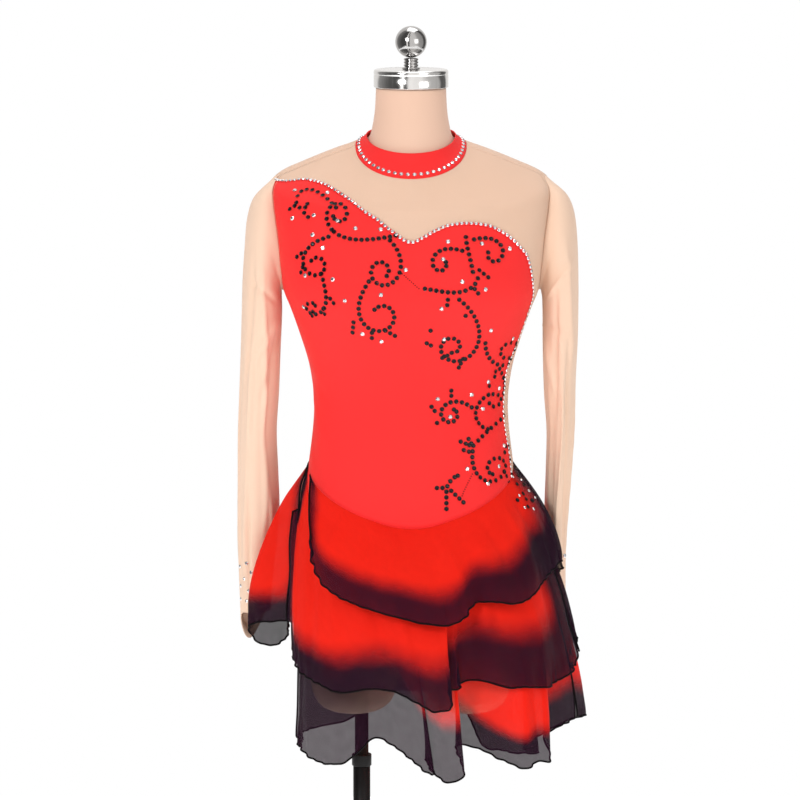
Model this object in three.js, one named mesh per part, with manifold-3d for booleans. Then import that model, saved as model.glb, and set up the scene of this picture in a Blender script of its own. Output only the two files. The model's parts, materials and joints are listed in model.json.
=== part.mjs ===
// A figure skating dress with long sheer sleeves and three chiffon tiers, worn by a limbless dress form
// on a pole stand. Millimetres, +Z up. The front faces -Y and the form's mid-plane is x = 0.
// The origin is the centre of the base plate's underside.

import * as THREE from "three";
import { mergeVertices } from "three/addons/utils/BufferGeometryUtils.js";
import Module from "manifold-3d";

const wasm = await Module();
wasm.setup();

const { abs, acos, asin, cos, exp, max, min, PI, round, sign, sin, sqrt } = Math;
const degrees = (angle) => (angle * PI) / 180;
const mix = (a, b, share) => a + (b - a) * share;

// Turns rows of numbers into records with the named columns.
function table(columns, ...rows) {
  return rows.map((row) => Object.fromEntries(columns.map((name, i) => [name, row[i]])));
}

// Cloth: every worn panel is a wall between these two distances from the form's skin.
const WALL_INNER = 1.8;
const WALL_OUTER = 3;
const WALL = WALL_OUTER - WALL_INNER;
const SEAM_GAP = 0.4; // between the edges of two panels that are sewn together
const LAP = 0.9; // between a panel's face and a piece that is sewn on over it
const FORM_EASE = 2.8; // how far the form's cover lies below the skin that the cloth is drawn to

// The form's skin, as rings from the hips to the top of the neck. A ring is named by the height of its
// sides. `tilt` is its slope down to the front, and `power` squares its corners.
const RINGS = table(
  ["height", "centre", "tilt", "halfWidth", "front", "back", "power"],
  [795, 2, 0, 139, 102, 116, 2.4],
  [830, 2, 0, 141.5, 105, 123, 2.4],
  [870, 2, 0, 142, 107, 126, 2.4],
  [910, 2, 0, 140.5, 107, 121, 2.4],
  [950, 1, 0, 137, 105, 110, 2.4],
  [985, 1, 0, 132.5, 101, 98, 2.4],
  [1015, 0, 0, 128.5, 95, 85, 2.4],
  [1045, 0, 0, 125, 90, 76, 2.4],
  [1073, 0, 0, 123.5, 87, 72, 2.4],
  [1100, 0, 0, 125, 89, 74, 2.4],
  [1134, 0, 0, 131, 96, 80, 2.5],
  [1170, 0, 0, 142, 108, 88, 2.6],
  [1205, 0, 0, 154, 118, 94, 2.8],
  [1228, 0, 0, 163, 122, 97, 2.9],
  [1250, 0, 0.01, 166.5, 122, 98, 3.0],
  [1275, 1, 0.05, 170, 118, 99, 3.1],
  [1300, 2, 0.1, 173, 113, 99, 3.1],
  [1330, 3, 0.18, 176.5, 107, 97, 3.0],
  [1352, 4, 0.26, 178, 102, 94, 2.8],
  [1366, 4, 0.31, 176, 98, 92, 2.6],
  [1374, 4, 0.35, 165, 95, 90, 2.4],
  [1382, 3, 0.39, 146, 90, 87, 2.3],
  [1391, 2, 0.42, 124, 85, 83, 2.2],
  [1400, 1, 0.43, 101, 79, 78, 2.1],
  [1406, 0, 0.43, 84, 75, 73, 2.05],
  [1412, 0, 0.42, 70, 69, 66, 2],
  [1418, 0, 0.39, 60.5, 62, 60, 2],
  [1426, 0, 0.32, 55, 57, 55, 2],
  [1440, 0, 0.18, 51.5, 53, 51.5, 2],
  [1460, 0, 0.05, 48.5, 49, 48.5, 2],
  [1489, 0, 0, 47, 47, 47, 2],
);
const HIP_LOW = RINGS[0].height; // below this ring the torso rounds under
const UNDERSIDE = 40; // how far down it rounds
const LEVELLING = 20; // how soon a tilted ring levels out behind the sides
const BUST = { spread: 70, level: 1243, width: 50, height: 48, depth: 9 };

// The armhole, an oval on the torso's side.
const ARMHOLE = { middle: 1298, halfHeight: 70, front: 46, back: 44 };
const ARMHOLE_TOP = ARMHOLE.middle + ARMHOLE.halfHeight;
const ARMHOLE_BOTTOM = ARMHOLE.middle - ARMHOLE.halfHeight;

// The collar band stands between these two rings.
const COLLAR_LOW = 1411.6;
const COLLAR_HIGH = 1426;

// The seam between bodice and skirt, by the angle from the nearer of front and back.
const SEAM_FRONT = table(
  ["angle", "height"],
  [-20, 938],
  [0, 926],
  [20, 938],
  [35, 950],
  [50, 963],
  [65, 976],
  [80, 989],
  [90, 997],
  [100, 1003],
);
const SEAM_BACK = table(
  ["angle", "height"],
  [-30, 975],
  [0, 966],
  [30, 975],
  [60, 988],
  [90, 997],
  [110, 1003],
);

// The red bodice's upper edge as it is seen from the front, in two curves that meet in a point,
// and the edge that runs down the wearer's left side from there.
const EDGE_LEFT = table(
  ["x", "z"],
  [-133, 1371],
  [-104, 1364.5],
  [-76, 1349],
  [-50, 1332],
  [-24, 1313],
  [-1, 1299],
);
const EDGE_RIGHT = table(
  ["x", "z"],
  [-1, 1299],
  [14, 1305],
  [30, 1313.5],
  [47, 1320],
  [65, 1322.5],
  [82, 1322],
  [100, 1319],
  [112, 1313.5],
  [124, 1306],
  [137, 1293.5],
  [147, 1281],
);
const EDGE_SIDE = table(
  ["x", "z"],
  [147, 1281],
  [152, 1264],
  [155, 1240],
  [151.5, 1210],
  [142.5, 1182],
  [132, 1154],
  [122, 1126],
  [119, 1098],
  [118, 1064],
  [121, 1040],
  [125.5, 1013],
  [128, 986],
);

// Where a smooth curve through the rows has `column` when it has `at` in the first column.
function smooth(rows, key, column, at) {
  const last = rows.length - 1;
  let i = 0;
  while (i < last - 1 && rows[i + 1][key] <= at) i++;
  const span = rows[i + 1][key] - rows[i][key];
  const t = min(1, max(0, (at - rows[i][key]) / span));
  const slope = (j) => {
    const low = rows[max(0, j - 1)];
    const high = rows[min(last, j + 1)];
    return (span * (high[column] - low[column])) / (high[key] - low[key]);
  };
  const start = rows[i][column];
  const end = rows[i + 1][column];
  const t2 = t * t;
  const t3 = t2 * t;
  return (
    start * (2 * t3 - 3 * t2 + 1) +
    slope(i) * (t3 - 2 * t2 + t) +
    end * (3 * t2 - 2 * t3) +
    slope(i + 1) * (t3 - t2)
  );
}

function ringAt(height) {
  const ring = {};
  for (const column of Object.keys(RINGS[0])) ring[column] = smooth(RINGS, "height", column, height);
  return ring;
}

// A point of the form's skin. The angle is 0 at the front and grows towards +X.
function skin(angle, height) {
  const ring = ringAt(max(height, HIP_LOW));
  const under = min(1, max(0, HIP_LOW - height) / UNDERSIDE);
  const share = sqrt(1 - under * under);
  const bend = 2 / ring.power;
  const across = sin(angle);
  const ahead = cos(angle);
  const x = ring.halfWidth * sign(across) * abs(across) ** bend;
  const reach = (ahead > 0 ? ring.front : ring.back) * sign(ahead) * abs(ahead) ** bend;
  const besideBust = (abs(x) - BUST.spread) / BUST.width;
  const aboveBust = (height - BUST.level) / BUST.height;
  const bust = BUST.depth * max(0, ahead) * exp(-besideBust * besideBust - aboveBust * aboveBust);
  const y = -reach - bust;
  const rise = ring.tilt * (y < 0 ? y : LEVELLING * (1 - exp(-y / LEVELLING)));
  return new THREE.Vector3(share * x, ring.centre + share * y, height + rise);
}

// The same point moved out from the skin.
function above(angle, height, distance) {
  const turn = 0.01;
  const step = 0.5;
  const low = max(height - step, HIP_LOW - UNDERSIDE + 0.01);
  const along = skin(angle + turn, height).sub(skin(angle - turn, height));
  const up = skin(angle, height + step).sub(skin(angle, low));
  return skin(angle, height).addScaledVector(along.cross(up).normalize(), distance);
}

function seamHeight(angle) {
  const turned = abs(Math.atan2(sin(angle), cos(angle)));
  if (turned <= PI / 2) return smooth(SEAM_FRONT, "angle", "height", (turned * 180) / PI);
  return smooth(SEAM_BACK, "angle", "height", ((PI - turned) * 180) / PI);
}

// The angle and ring of the skin's point that is seen from the front at x and z.
function locate(x, z) {
  let height = z;
  let angle = 0;
  for (let i = 0; i < 60; i++) {
    const ring = ringAt(height);
    angle = sign(x) * asin(min(1, (abs(x) / ring.halfWidth) ** (ring.power / 2)));
    height += 0.7 * (z - skin(angle, height).z);
  }
  return [angle, height];
}

// The armhole's edge: turn is 0 at the shoulder, a quarter at the back and a half under the arm.
function armhole(side, turn, grow = 0) {
  const height = ARMHOLE.middle + (ARMHOLE.halfHeight + grow) * cos(turn);
  const ring = ringAt(height);
  const toBack = sin(turn) >= 0;
  const away = abs(sin(turn)) * ((toBack ? ARMHOLE.back : ARMHOLE.front) + grow);
  const half = acos(min(1, away / (toBack ? ring.back : ring.front)) ** (ring.power / 2));
  return [side * (toBack ? PI - half : half), height];
}

// A curve through places on the skin: share 0 to 1 runs along it by length.
function route(places) {
  const lengths = [0];
  for (let i = 1; i < places.length; i++) {
    const step = skin(...places[i]).distanceTo(skin(...places[i - 1]));
    lengths.push(lengths[i - 1] + step);
  }
  const rows = places.map(([angle, height], i) => ({ length: lengths[i], angle, height }));
  const total = lengths.at(-1);
  return (share) => [
    smooth(rows, "length", "angle", share * total),
    smooth(rows, "length", "height", share * total),
  ];
}

// Several curves end to end, each with its own number of steps.
function stations(...legs) {
  const places = [];
  for (const [curve, steps] of legs) {
    for (let i = places.length ? 1 : 0; i <= steps; i++) places.push(curve(i / steps));
  }
  return places;
}

// A closed solid between an outer and an inner grid of points, as rows that run upwards. Columns run
// towards +X at the front. `closed` joins the last column to the first, and `cap` holds the outer and
// the inner point that close the grid below its lowest row.
function wall(outer, inner, { closed = false, cap = null } = {}) {
  const rows = outer.length;
  const columns = outer[0].length;
  const points = [...outer.flat(), ...inner.flat(), ...(cap ?? [])];
  const out = (r, c) => r * columns + (c % columns);
  const into = (r, c) => rows * columns + out(r, c);
  const faces = [];
  const quad = (a, b, c, d) => faces.push(a, b, c, a, c, d);
  const spans = closed ? columns : columns - 1;
  for (let c = 0; c < spans; c++) {
    for (let r = 0; r < rows - 1; r++) {
      quad(out(r, c), out(r, c + 1), out(r + 1, c + 1), out(r + 1, c));
      quad(into(r, c + 1), into(r, c), into(r + 1, c), into(r + 1, c + 1));
    }
    if (cap) {
      const centre = 2 * rows * columns;
      faces.push(out(0, c + 1), out(0, c), centre, into(0, c), into(0, c + 1), centre + 1);
    } else {
      quad(out(0, c + 1), out(0, c), into(0, c), into(0, c + 1));
    }
    quad(out(rows - 1, c), out(rows - 1, c + 1), into(rows - 1, c + 1), into(rows - 1, c));
  }
  if (!closed) {
    for (let r = 0; r < rows - 1; r++) {
      quad(out(r, 0), out(r + 1, 0), into(r + 1, 0), into(r, 0));
      quad(out(r + 1, spans), out(r, spans), into(r, spans), into(r + 1, spans));
    }
  }
  return indexed(points, faces);
}

// A closed solid from rings of points that run upwards, with a flat end below and above.
function loft(rings) {
  const columns = rings[0].length;
  const middle = (ring) => ring.reduce((sum, p) => sum.add(p), new THREE.Vector3()).divideScalar(columns);
  const points = [...rings.flat(), middle(rings[0]), middle(rings.at(-1))];
  const faces = [];
  const at = (r, c) => r * columns + (c % columns);
  for (let c = 0; c < columns; c++) {
    for (let r = 0; r < rings.length - 1; r++) {
      faces.push(at(r, c), at(r, c + 1), at(r + 1, c + 1));
      faces.push(at(r, c), at(r + 1, c + 1), at(r + 1, c));
    }
    faces.push(at(0, c + 1), at(0, c), points.length - 2);
    faces.push(at(rings.length - 1, c), at(rings.length - 1, c + 1), points.length - 1);
  }
  return indexed(points, faces);
}

function indexed(points, faces) {
  const geometry = new THREE.BufferGeometry().setFromPoints(points);
  geometry.setIndex(faces);
  return geometry;
}

function toSolid(geometry) {
  const bare = geometry.clone();
  bare.deleteAttribute("normal");
  bare.deleteAttribute("uv");
  const merged = mergeVertices(bare, 1e-3);
  return new wasm.Manifold(
    new wasm.Mesh({
      numProp: 3,
      vertProperties: new Float32Array(merged.attributes.position.array),
      triVerts: new Uint32Array(merged.index.array),
    }),
  );
}

function fromSolid(solid) {
  const { vertProperties, triVerts } = solid.getMesh();
  const geometry = new THREE.BufferGeometry();
  geometry.setAttribute("position", new THREE.BufferAttribute(vertProperties, 3));
  geometry.setIndex(new THREE.BufferAttribute(triVerts, 1));
  return geometry;
}

// Cloth that lies on the form: the places of its grid, as rows that run upwards.
function worn(places, { lift = 0, ...options } = {}) {
  const grid = (distance) => places.map((row) => row.map((place) => above(...place, distance + lift)));
  return wall(grid(WALL_OUTER), grid(WALL_INNER), options);
}

// Cloth that hangs free: the points of its outer face, thickened inwards. `sewn` holds the inner points
// of the top row, which lies flat on the cloth that carries it.
function hung(points, sewn, closed = false) {
  const rows = points.length;
  const columns = points[0].length;
  const inner = points.map((row, r) =>
    row.map((point, c) => {
      const left = closed ? (c + columns - 1) % columns : max(0, c - 1);
      const right = closed ? (c + 1) % columns : min(columns - 1, c + 1);
      const along = row[right].clone().sub(row[left]);
      const up = points[min(rows - 1, r + 1)][c].clone().sub(points[max(0, r - 1)][c]);
      return point.clone().addScaledVector(along.cross(up).normalize(), -WALL);
    }),
  );
  inner[rows - 1] = sewn;
  return wall(points, inner, { closed });
}

// The bodice's upper and side edges, as places on the skin, from the shoulder tip to the waist.
function bodiceEdges() {
  const onSkin = (rows) => rows.map(({ x, z }) => locate(x, z));
  const tip = [degrees(-90) + 0.002, ARMHOLE_TOP + 0.5];
  const nearTip = [degrees(-79), ARMHOLE_TOP + 8];
  const side = onSkin(EDGE_SIDE);
  const foot = side.at(-1);
  side[side.length - 1] = [foot[0], seamHeight(foot[0]) + SEAM_GAP / 2];
  const left = [tip, nearTip, ...onSkin(EDGE_LEFT)];
  return stations(
    [route(left), EDGE_STEPS.left],
    [route(onSkin(EDGE_RIGHT)), EDGE_STEPS.right],
    [route(side), EDGE_STEPS.side],
  );
}

// The same places moved sideways over the skin, to the left of the way they run.
function beside(places, distance) {
  const turn = 0.002;
  const rise = 0.2;
  return places.map(([angle, height], i) => {
    const before = skin(...places[max(0, i - 1)]);
    const after = skin(...places[min(places.length - 1, i + 1)]);
    const here = skin(angle, height);
    const along = skin(angle + turn, height).sub(here).divideScalar(turn);
    const up = skin(angle, height + rise).sub(here).divideScalar(rise);
    const normal = along.clone().cross(up).normalize();
    const aside = normal.cross(after.sub(before).normalize()).multiplyScalar(distance);
    const [aa, au, uu] = [along.dot(along), along.dot(up), up.dot(up)];
    const [ta, tu] = [along.dot(aside), up.dot(aside)];
    const scale = aa * uu - au * au;
    return [angle + (ta * uu - tu * au) / scale, height + (tu * aa - ta * au) / scale];
  });
}

const EDGE_STEPS = { left: 9, right: 11, side: 15 };
const SCYE_STEPS = 8; // along one half of the armhole
const FRONT_STEP = 0.0016; // the angle between a side seam's middle and the panel's edge beside it

// The red front: from the waist seam up to the curved edge, and from side seam to side edge.
function bodiceFront() {
  const edges = bodiceEdges();
  const columns = EDGE_STEPS.left + EDGE_STEPS.right;
  const top = edges.slice(0, columns + 1);
  const rightSide = edges.slice(columns).reverse();
  const seamLeft = degrees(-90) + FRONT_STEP;
  const seamRight = edges.at(-1)[0];
  const hemAt = (angle) => [angle, seamHeight(angle) + SEAM_GAP / 2];
  const leftSide = stations(
    [(s) => [seamLeft, mix(hemAt(seamLeft)[1], ARMHOLE_BOTTOM, s)], EDGE_STEPS.side - SCYE_STEPS],
    [(s) => armhole(-1, PI + s * PI), SCYE_STEPS],
  );
  leftSide[leftSide.length - 1] = top[0];
  const bottom = stations([(s) => hemAt(mix(seamLeft, seamRight, s)), columns]);
  return worn(patch(bottom, top, leftSide, rightSide));
}

// A grid of places inside four edges.
function patch(bottom, top, left, right) {
  const rows = left.length - 1;
  const columns = bottom.length - 1;
  return left.map((_, r) =>
    bottom.map((_, c) => {
      const u = c / columns;
      const w = r / rows;
      return [0, 1].map(
        (k) =>
          mix(bottom[c][k], top[c][k], w) +
          mix(left[r][k], right[r][k], u) -
          mix(mix(bottom[0][k], bottom[columns][k], u), mix(top[0][k], top[columns][k], u), w),
      );
    }),
  );
}

// The sheer front: the yoke above the red and the strip beside it, down to the waist.
function yokeFront() {
  const inner = beside(bodiceEdges(), SEAM_GAP);
  const side = degrees(90) - FRONT_STEP;
  const collar = (s) => [mix(-side, side, s), COLLAR_LOW - SEAM_GAP];
  const shoulder = (s) => [side, mix(COLLAR_LOW - SEAM_GAP, ARMHOLE_TOP, s)];
  const scye = (s) => armhole(1, -s * PI);
  const seam = (s) => [side, mix(ARMHOLE_BOTTOM, seamHeight(side) + SEAM_GAP / 2, s)];
  const strip = EDGE_STEPS.side - SCYE_STEPS + 2;
  const shoulderSteps = 3;
  const collarSteps = inner.length - 1 - strip - SCYE_STEPS - shoulderSteps;
  const outer = stations([collar, collarSteps], [shoulder, shoulderSteps], [scye, SCYE_STEPS], [seam, strip]);
  const across = 6;
  const places = [];
  for (let r = 0; r <= across; r++) {
    const share = 1 - (1 - r / across) ** 1.35;
    places.push(inner.map((place, i) => [0, 1].map((k) => mix(place[k], outer[i][k], share))));
  }
  return worn(places);
}

// One half of the sheer back, from the side to the middle, with the slit of the invisible zip between.
function back(side) {
  const seam = degrees(90) + FRONT_STEP;
  const middle = degrees(180) - 0.003;
  const steps = 8;
  const heights = [
    ...[0, 0.15, 0.3, 0.45, 0.6, 0.75, 0.88].map((s) => [0, s]),
    ...Array.from({ length: SCYE_STEPS + 1 }, (_, i) => [1, i / SCYE_STEPS]),
    ...[0.2, 0.4, 0.6, 0.8, 1].map((s) => [2, s]),
  ];
  const places = heights.map(([leg, s]) => {
    const row = [];
    for (let c = 0; c <= steps; c++) {
      const foot = seamHeight(mix(seam, middle, c / steps)) + SEAM_GAP / 2;
      const [angle, level] = leg === 1 ? armhole(1, PI - s * PI) : [seam, 0];
      const height = [mix(foot, ARMHOLE_BOTTOM, s), level, mix(ARMHOLE_TOP, COLLAR_LOW - SEAM_GAP, s)][leg];
      row.push([side * mix(max(seam, angle), middle, c / steps), height]);
    }
    return side > 0 ? row : row.reverse();
  });
  return worn(places);
}

// The collar band, open at the middle of the back.
function collarBand() {
  const steps = 26;
  const end = degrees(180) - 0.006;
  const places = [0, 0.5, 1].map((s) => {
    const row = [];
    for (let c = 0; c <= steps; c++) row.push([mix(-end, end, c / steps), mix(COLLAR_LOW, COLLAR_HIGH, s)]);
    return row;
  });
  return worn(places, { lift: 0.2 });
}

// The brief under the skirt: the torso's own shape below the seam, with two leg openings.
const BRIEF_DROP = 1.6; // the brief starts this far under the seam, behind the skirt
const LEG_OPENING = { x: 110, y: 4, z: 742, wide: 95, deep: 142, high: 98 };

function brief() {
  const columns = 30;
  const shares = [0.35, 0.6, 0.8, 0.94];
  const under = shares.map((s) => HIP_LOW - UNDERSIDE * sqrt(1 - s * s));
  const places = [];
  const ring = (heightAt) => {
    const row = [];
    for (let c = 0; c < columns; c++) {
      const angle = (2 * PI * c) / columns;
      row.push([angle, heightAt(angle)]);
    }
    places.push(row);
  };
  for (const height of under) ring(() => height);
  for (const s of [0, 0.25, 0.5, 0.75, 1]) {
    ring((angle) => mix(HIP_LOW, seamHeight(angle) - BRIEF_DROP, s));
  }
  const low = HIP_LOW - UNDERSIDE;
  const centre = RINGS[0].centre;
  const cap = [WALL_OUTER, WALL_INNER].map((d) => new THREE.Vector3(0, centre, low - d));
  let solid = toSolid(worn(places, { closed: true, cap }));
  for (const side of [-1, 1]) {
    const leg = new THREE.SphereGeometry(1, 24, 14);
    leg.scale(LEG_OPENING.wide, LEG_OPENING.deep, LEG_OPENING.high);
    leg.translate(side * LEG_OPENING.x, LEG_OPENING.y, LEG_OPENING.z);
    solid = solid.subtract(toSolid(leg));
  }
  return fromSolid(solid);
}

// Sleeves: each row is an oval between a point near the body and a point away from it.
const SLEEVE_COLUMNS = ["innerX", "innerZ", "outerX", "outerZ", "y", "depth"];
const SLEEVES = {
  left: table(
    SLEEVE_COLUMNS,
    [168.6, 1226, 194, 1357, 0, 50],
    [169, 1224, 206, 1342, 0, 53],
    [169, 1221, 213, 1317, 1, 55],
    [169, 1216, 216, 1283, 2, 56],
    [168.8, 1207, 219, 1240, 4, 56],
    [169, 1188, 220.5, 1194, 7, 55],
    [171, 1148, 222, 1150, 11, 53],
    [173.5, 1090, 224.5, 1090, 18, 50],
    [177, 1035, 227, 1035, 28, 48],
    [175.5, 980, 228, 980, 40, 46],
    [174.5, 925, 228.5, 925, 51, 44],
    [180, 870, 228.5, 870, 61, 41],
    [185, 825, 227.5, 825, 66, 38],
    [187, 790, 226, 790, 68, 36],
  ),
  right: table(
    SLEEVE_COLUMNS,
    [168.6, 1226, 195, 1358, 0, 50],
    [169.5, 1224, 206.5, 1344, 0, 53],
    [170, 1221, 213.5, 1322, 1, 55],
    [171, 1216, 217, 1287, 2, 56],
    [171.5, 1207, 218.5, 1240, 4, 56],
    [172, 1188, 218.7, 1194, 7, 55],
    [172.5, 1148, 218, 1150, 11, 54],
    [174.5, 1090, 215, 1090, 18, 53],
    [178.5, 1035, 212.5, 1035, 28, 52],
    [178, 980, 210, 980, 40, 50],
    [177, 925, 207.5, 925, 52, 48],
    [179, 870, 206, 870, 62, 45],
    [181, 825, 206, 825, 67, 43],
    [182, 790, 206, 790, 69, 41],
  ),
};
const CUFF_POINT = { drop: 46, turn: degrees(62) }; // the point over the back of the hand

function sleeve(side) {
  const columns = 16;
  const rows = side < 0 ? SLEEVES.left : SLEEVES.right;
  const turns = Array.from({ length: columns }, (_, c) => (2 * PI * c) / columns);
  const headAt = (grow) => turns.map((turn) => above(...armhole(side, turn, grow), WALL_OUTER + LAP));
  const head = headAt(0.3 + WALL);
  const sewn = headAt(0.3);
  const rings = rows.map((row, r) =>
    turns.map((turn) => {
      const along = cos(turn);
      const point = r < rows.length - 1 ? 0 : ((1 + cos(turn - CUFF_POINT.turn)) / 2) ** 4;
      const x = mix(row.innerX, row.outerX, (1 + along) / 2);
      const z = mix(row.innerZ, row.outerZ, (1 + along) / 2);
      return new THREE.Vector3(side * x, row.y + row.depth * sin(turn), z - CUFF_POINT.drop * point);
    }),
  );
  const grid = [head, ...rings].reverse();
  if (side < 0) {
    grid.forEach((ring) => ring.reverse());
    sewn.reverse();
  }
  return hung(grid, sewn, true);
}

// The skirt's tiers. Each row is one fall of the cloth, from the angle where it is sewn on to a point
// of the hem. `swell` rounds the fall out between them. Angles grow from the front towards +X.
const FALL = ["top", "x", "y", "z", "swell"];
const TIERS = {
  tier_3_back: {
    drop: [60, 60, 60],
    layers: 0,
    over: [],
    falls: table(
      FALL,
      [95.9, 216.6, -54.4, 669, 0],
      [101, 229, -16, 662, 0],
      [107, 208, 4, 652, 0],
      [114, 172, 22, 628, 0],
      [121, 152, 60, 604, 0],
      [128, 160, 102, 588, 0],
      [135, 172, 138, 578, 0],
      [144, 144, 156, 574, 0],
      [153, 122, 188, 572, 0],
      [162, 98, 182, 580, 0],
      [171, 66, 204, 636, 0],
      [181, 8, 190, 654, 0],
      [191, -38, 204, 646, 0],
      [202, -84, 180, 616, 0],
      [213, -124, 176, 607, 0],
      [224, -150, 136, 606, 0],
      [235, -146, 92, 608, 0],
      [246, -148, 50, 611, 0],
      [256, -146, 12, 617, 0],
      [264, -147, -14, 620, 0],
      [271.5, -146, -34, 628, 0],
    ),
  },
  tier_3_front: {
    drop: [60, 60, 60],
    layers: 0,
    over: ["tier_3_back"],
    falls: table(
      FALL,
      [-87.5, -149, -52, 642, 0],
      [-78, -143, -82, 631, 0],
      [-68, -121, -114, 622, 0],
      [-58, -92, -138, 624, 0],
      [-48, -71, -134, 636, 0],
      [-37, -46, -122, 655, 0],
      [-25, -16, -152, 646, 0],
      [-13, 12, -178, 628, 0],
      [-2, 34, -194, 613, 0],
      [8, 56, -194, 613, 0],
      [17, 68, -168, 632, 0],
      [27, 76, -140, 645, 0],
      [38, 98, -146, 641, 0],
      [49, 126, -160, 630, 0],
      [59, 150, -166, 624, 0],
      [68, 163, -148, 630, 0],
      [77, 179, -138, 627, 0],
      [86, 194, -94, 654, 0],
      [95.5, 216, -56, 668, 0],
    ),
  },
  tier_2_back: {
    drop: [26, 26, 26],
    layers: 1,
    over: ["tier_3_back", "tier_3_front"],
    falls: table(
      FALL,
      [90.4, 212.2, -22.4, 749, 0],
      [98, 214, -12, 770, 0],
      [107, 184, -6, 764, 0],
      [114, 160, 12, 752, 0],
      [121, 158, 60, 740, 0],
      [128, 160, 98, 731, 0],
      [135, 170, 132, 724, 0],
      [144, 138, 146, 718, 0],
      [153, 120, 178, 713, 0],
      [162, 76, 168, 709, 0],
      [171, 40, 192, 706, 0],
      [181, -6, 176, 704, 0],
      [191, -50, 192, 704, 0],
      [202, -88, 170, 704, 0],
      [213, -124, 170, 706, 0],
      [224, -152, 136, 710, 0],
      [235, -152, 92, 716, 0],
      [246, -153, 50, 724, 0],
      [256, -154, 18, 732, 0],
      [264, -154, -4, 738, 0],
      [271.5, -154, -24, 742, 0],
    ),
  },
  tier_1_back: {
    drop: [1, 1, 1],
    layers: 2,
    over: ["tier_2_back", "tier_3_back", "tier_3_front"],
    falls: table(
      FALL,
      [95.9, 192.4, -8.6, 868, 2],
      [103, 168, 2, 854, 0],
      [111, 162, 36, 838, 0],
      [119, 164, 86, 824, 0],
      [128, 166, 124, 814, 0],
      [138, 134, 136, 806, 0],
      [148, 112, 160, 799, 0],
      [158, 76, 156, 794, 0],
      [168, 44, 176, 791, 0],
      [178, 4, 164, 789, 0],
      [188, -36, 178, 788, 0],
      [199, -74, 158, 787, 0],
      [211, -110, 162, 784, 0],
      [221, -136, 140, 779, 0],
      [230, -160, 124, 772, 0],
      [238, -164, 78, 762, 0],
      [245, -164, 36, 759, 0],
      [251, -178, 8, 753, 2],
      [257, -200, -2, 757, 6],
      [261, -214, -14, 779, 8],
      [264, -203, -30, 789, 5],
      [267, -174, -43, 794, 0],
      [268.6, -152, -50, 795, 0],
      [269.5, -147, -62, 797, 0],
    ),
  },
  tier_2_front: {
    drop: [4, 26, 26],
    layers: 1,
    over: ["tier_3_back", "tier_3_front", "tier_2_back", "tier_1_back"],
    falls: table(
      FALL,
      [-86, -153, -50, 758, 8],
      [-81, -151, -74, 745, 7],
      [-72, -142, -100, 736, 5],
      [-62, -121, -128, 728, 3],
      [-50, -92, -149, 720, 0],
      [-38, -58, -163, 727, 0],
      [-25, -28, -169, 727, 0],
      [-12, 0, -180, 717, 0],
      [-1, 24, -188, 705, 0],
      [9, 45, -187, 706, 0],
      [18, 60, -166, 724, 0],
      [28, 78, -154, 738, 0],
      [39, 99, -164, 737, 0],
      [50, 125, -156, 728, 0],
      [60, 150, -142, 727, 0],
      [70, 175, -122, 722, 0],
      [78, 190, -90, 724, 0],
      [85, 206, -56, 730, 0],
      [90, 212, -24, 748, 0],
    ),
  },
  tier_1_front: {
    drop: [1, 1, 1],
    layers: 2,
    over: ["tier_3_front", "tier_2_back", "tier_1_back", "tier_2_front"],
    falls: table(
      FALL,
      [-75, -129, -112, 905, 3],
      [-70, -126, -120, 880, 3],
      [-64, -112, -134, 857, 3],
      [-54, -86, -150, 842, 2],
      [-42, -52, -162, 831, 0],
      [-28, -16, -170, 822, 0],
      [-12, 18, -175, 815, 0],
      [2, 44, -176, 813, 0],
      [13, 66, -168, 819, 0],
      [23, 84, -150, 838, 0],
      [35, 112, -154, 839, 0],
      [47, 139, -138, 835, 0],
      [59, 158, -116, 842, 0],
      [70, 170, -88, 852, 0],
      [80, 183, -54, 862, 2],
      [89, 197, -26, 871, 4],
      [95.5, 193, -10, 868, 2],
    ),
  },
};
const FLARE = 1.55; // how soon a fall leaves the body: 1 is a straight slope, more is a bell
const TIER_ROWS = 6;
const STEPS_PER_FALL = 1.35;

const HIP_CLEARANCE = 1.6; // between a fall and the brief, where the hip carries it
const LAYER = 2.4; // what each tier underneath adds to that
const TIER_CLEARANCE = 8; // between a fall's outer face and the tier under it

// Moves a point out from the middle of the body until it is clear of the hips.
function clearOfHips(point, distance) {
  const ring = ringAt(max(point.z, HIP_LOW));
  const depth = point.y < ring.centre ? ring.front : ring.back;
  const beside = abs(point.x) / (ring.halfWidth + distance);
  const along = abs(point.y - ring.centre) / (depth + distance);
  const inside = (beside ** ring.power + along ** ring.power) ** (1 / ring.power);
  if (inside >= 1) return;
  point.x /= inside;
  point.y = ring.centre + (point.y - ring.centre) / inside;
}

// The same, until it is clear of another tier's outer face.
function clearOfTier(point, grid, distance) {
  const out = new THREE.Vector3(point.x, point.y, 0).normalize();
  const ray = new THREE.Ray(new THREE.Vector3(0, 0, point.z), out);
  const hit = new THREE.Vector3();
  let reach = 0;
  for (let r = 0; r < grid.length - 1; r++) {
    for (let c = 0; c < grid[0].length - 1; c++) {
      const [a, b, d, e] = [grid[r][c], grid[r][c + 1], grid[r + 1][c + 1], grid[r + 1][c]];
      for (const corners of [[a, b, d], [a, d, e]]) {
        if (ray.intersectTriangle(...corners, false, hit)) reach = max(reach, Math.hypot(hit.x, hit.y));
      }
    }
  }
  const short = reach && reach + distance - Math.hypot(point.x, point.y);
  if (short > 0) point.addScaledVector(out, short);
}

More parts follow.
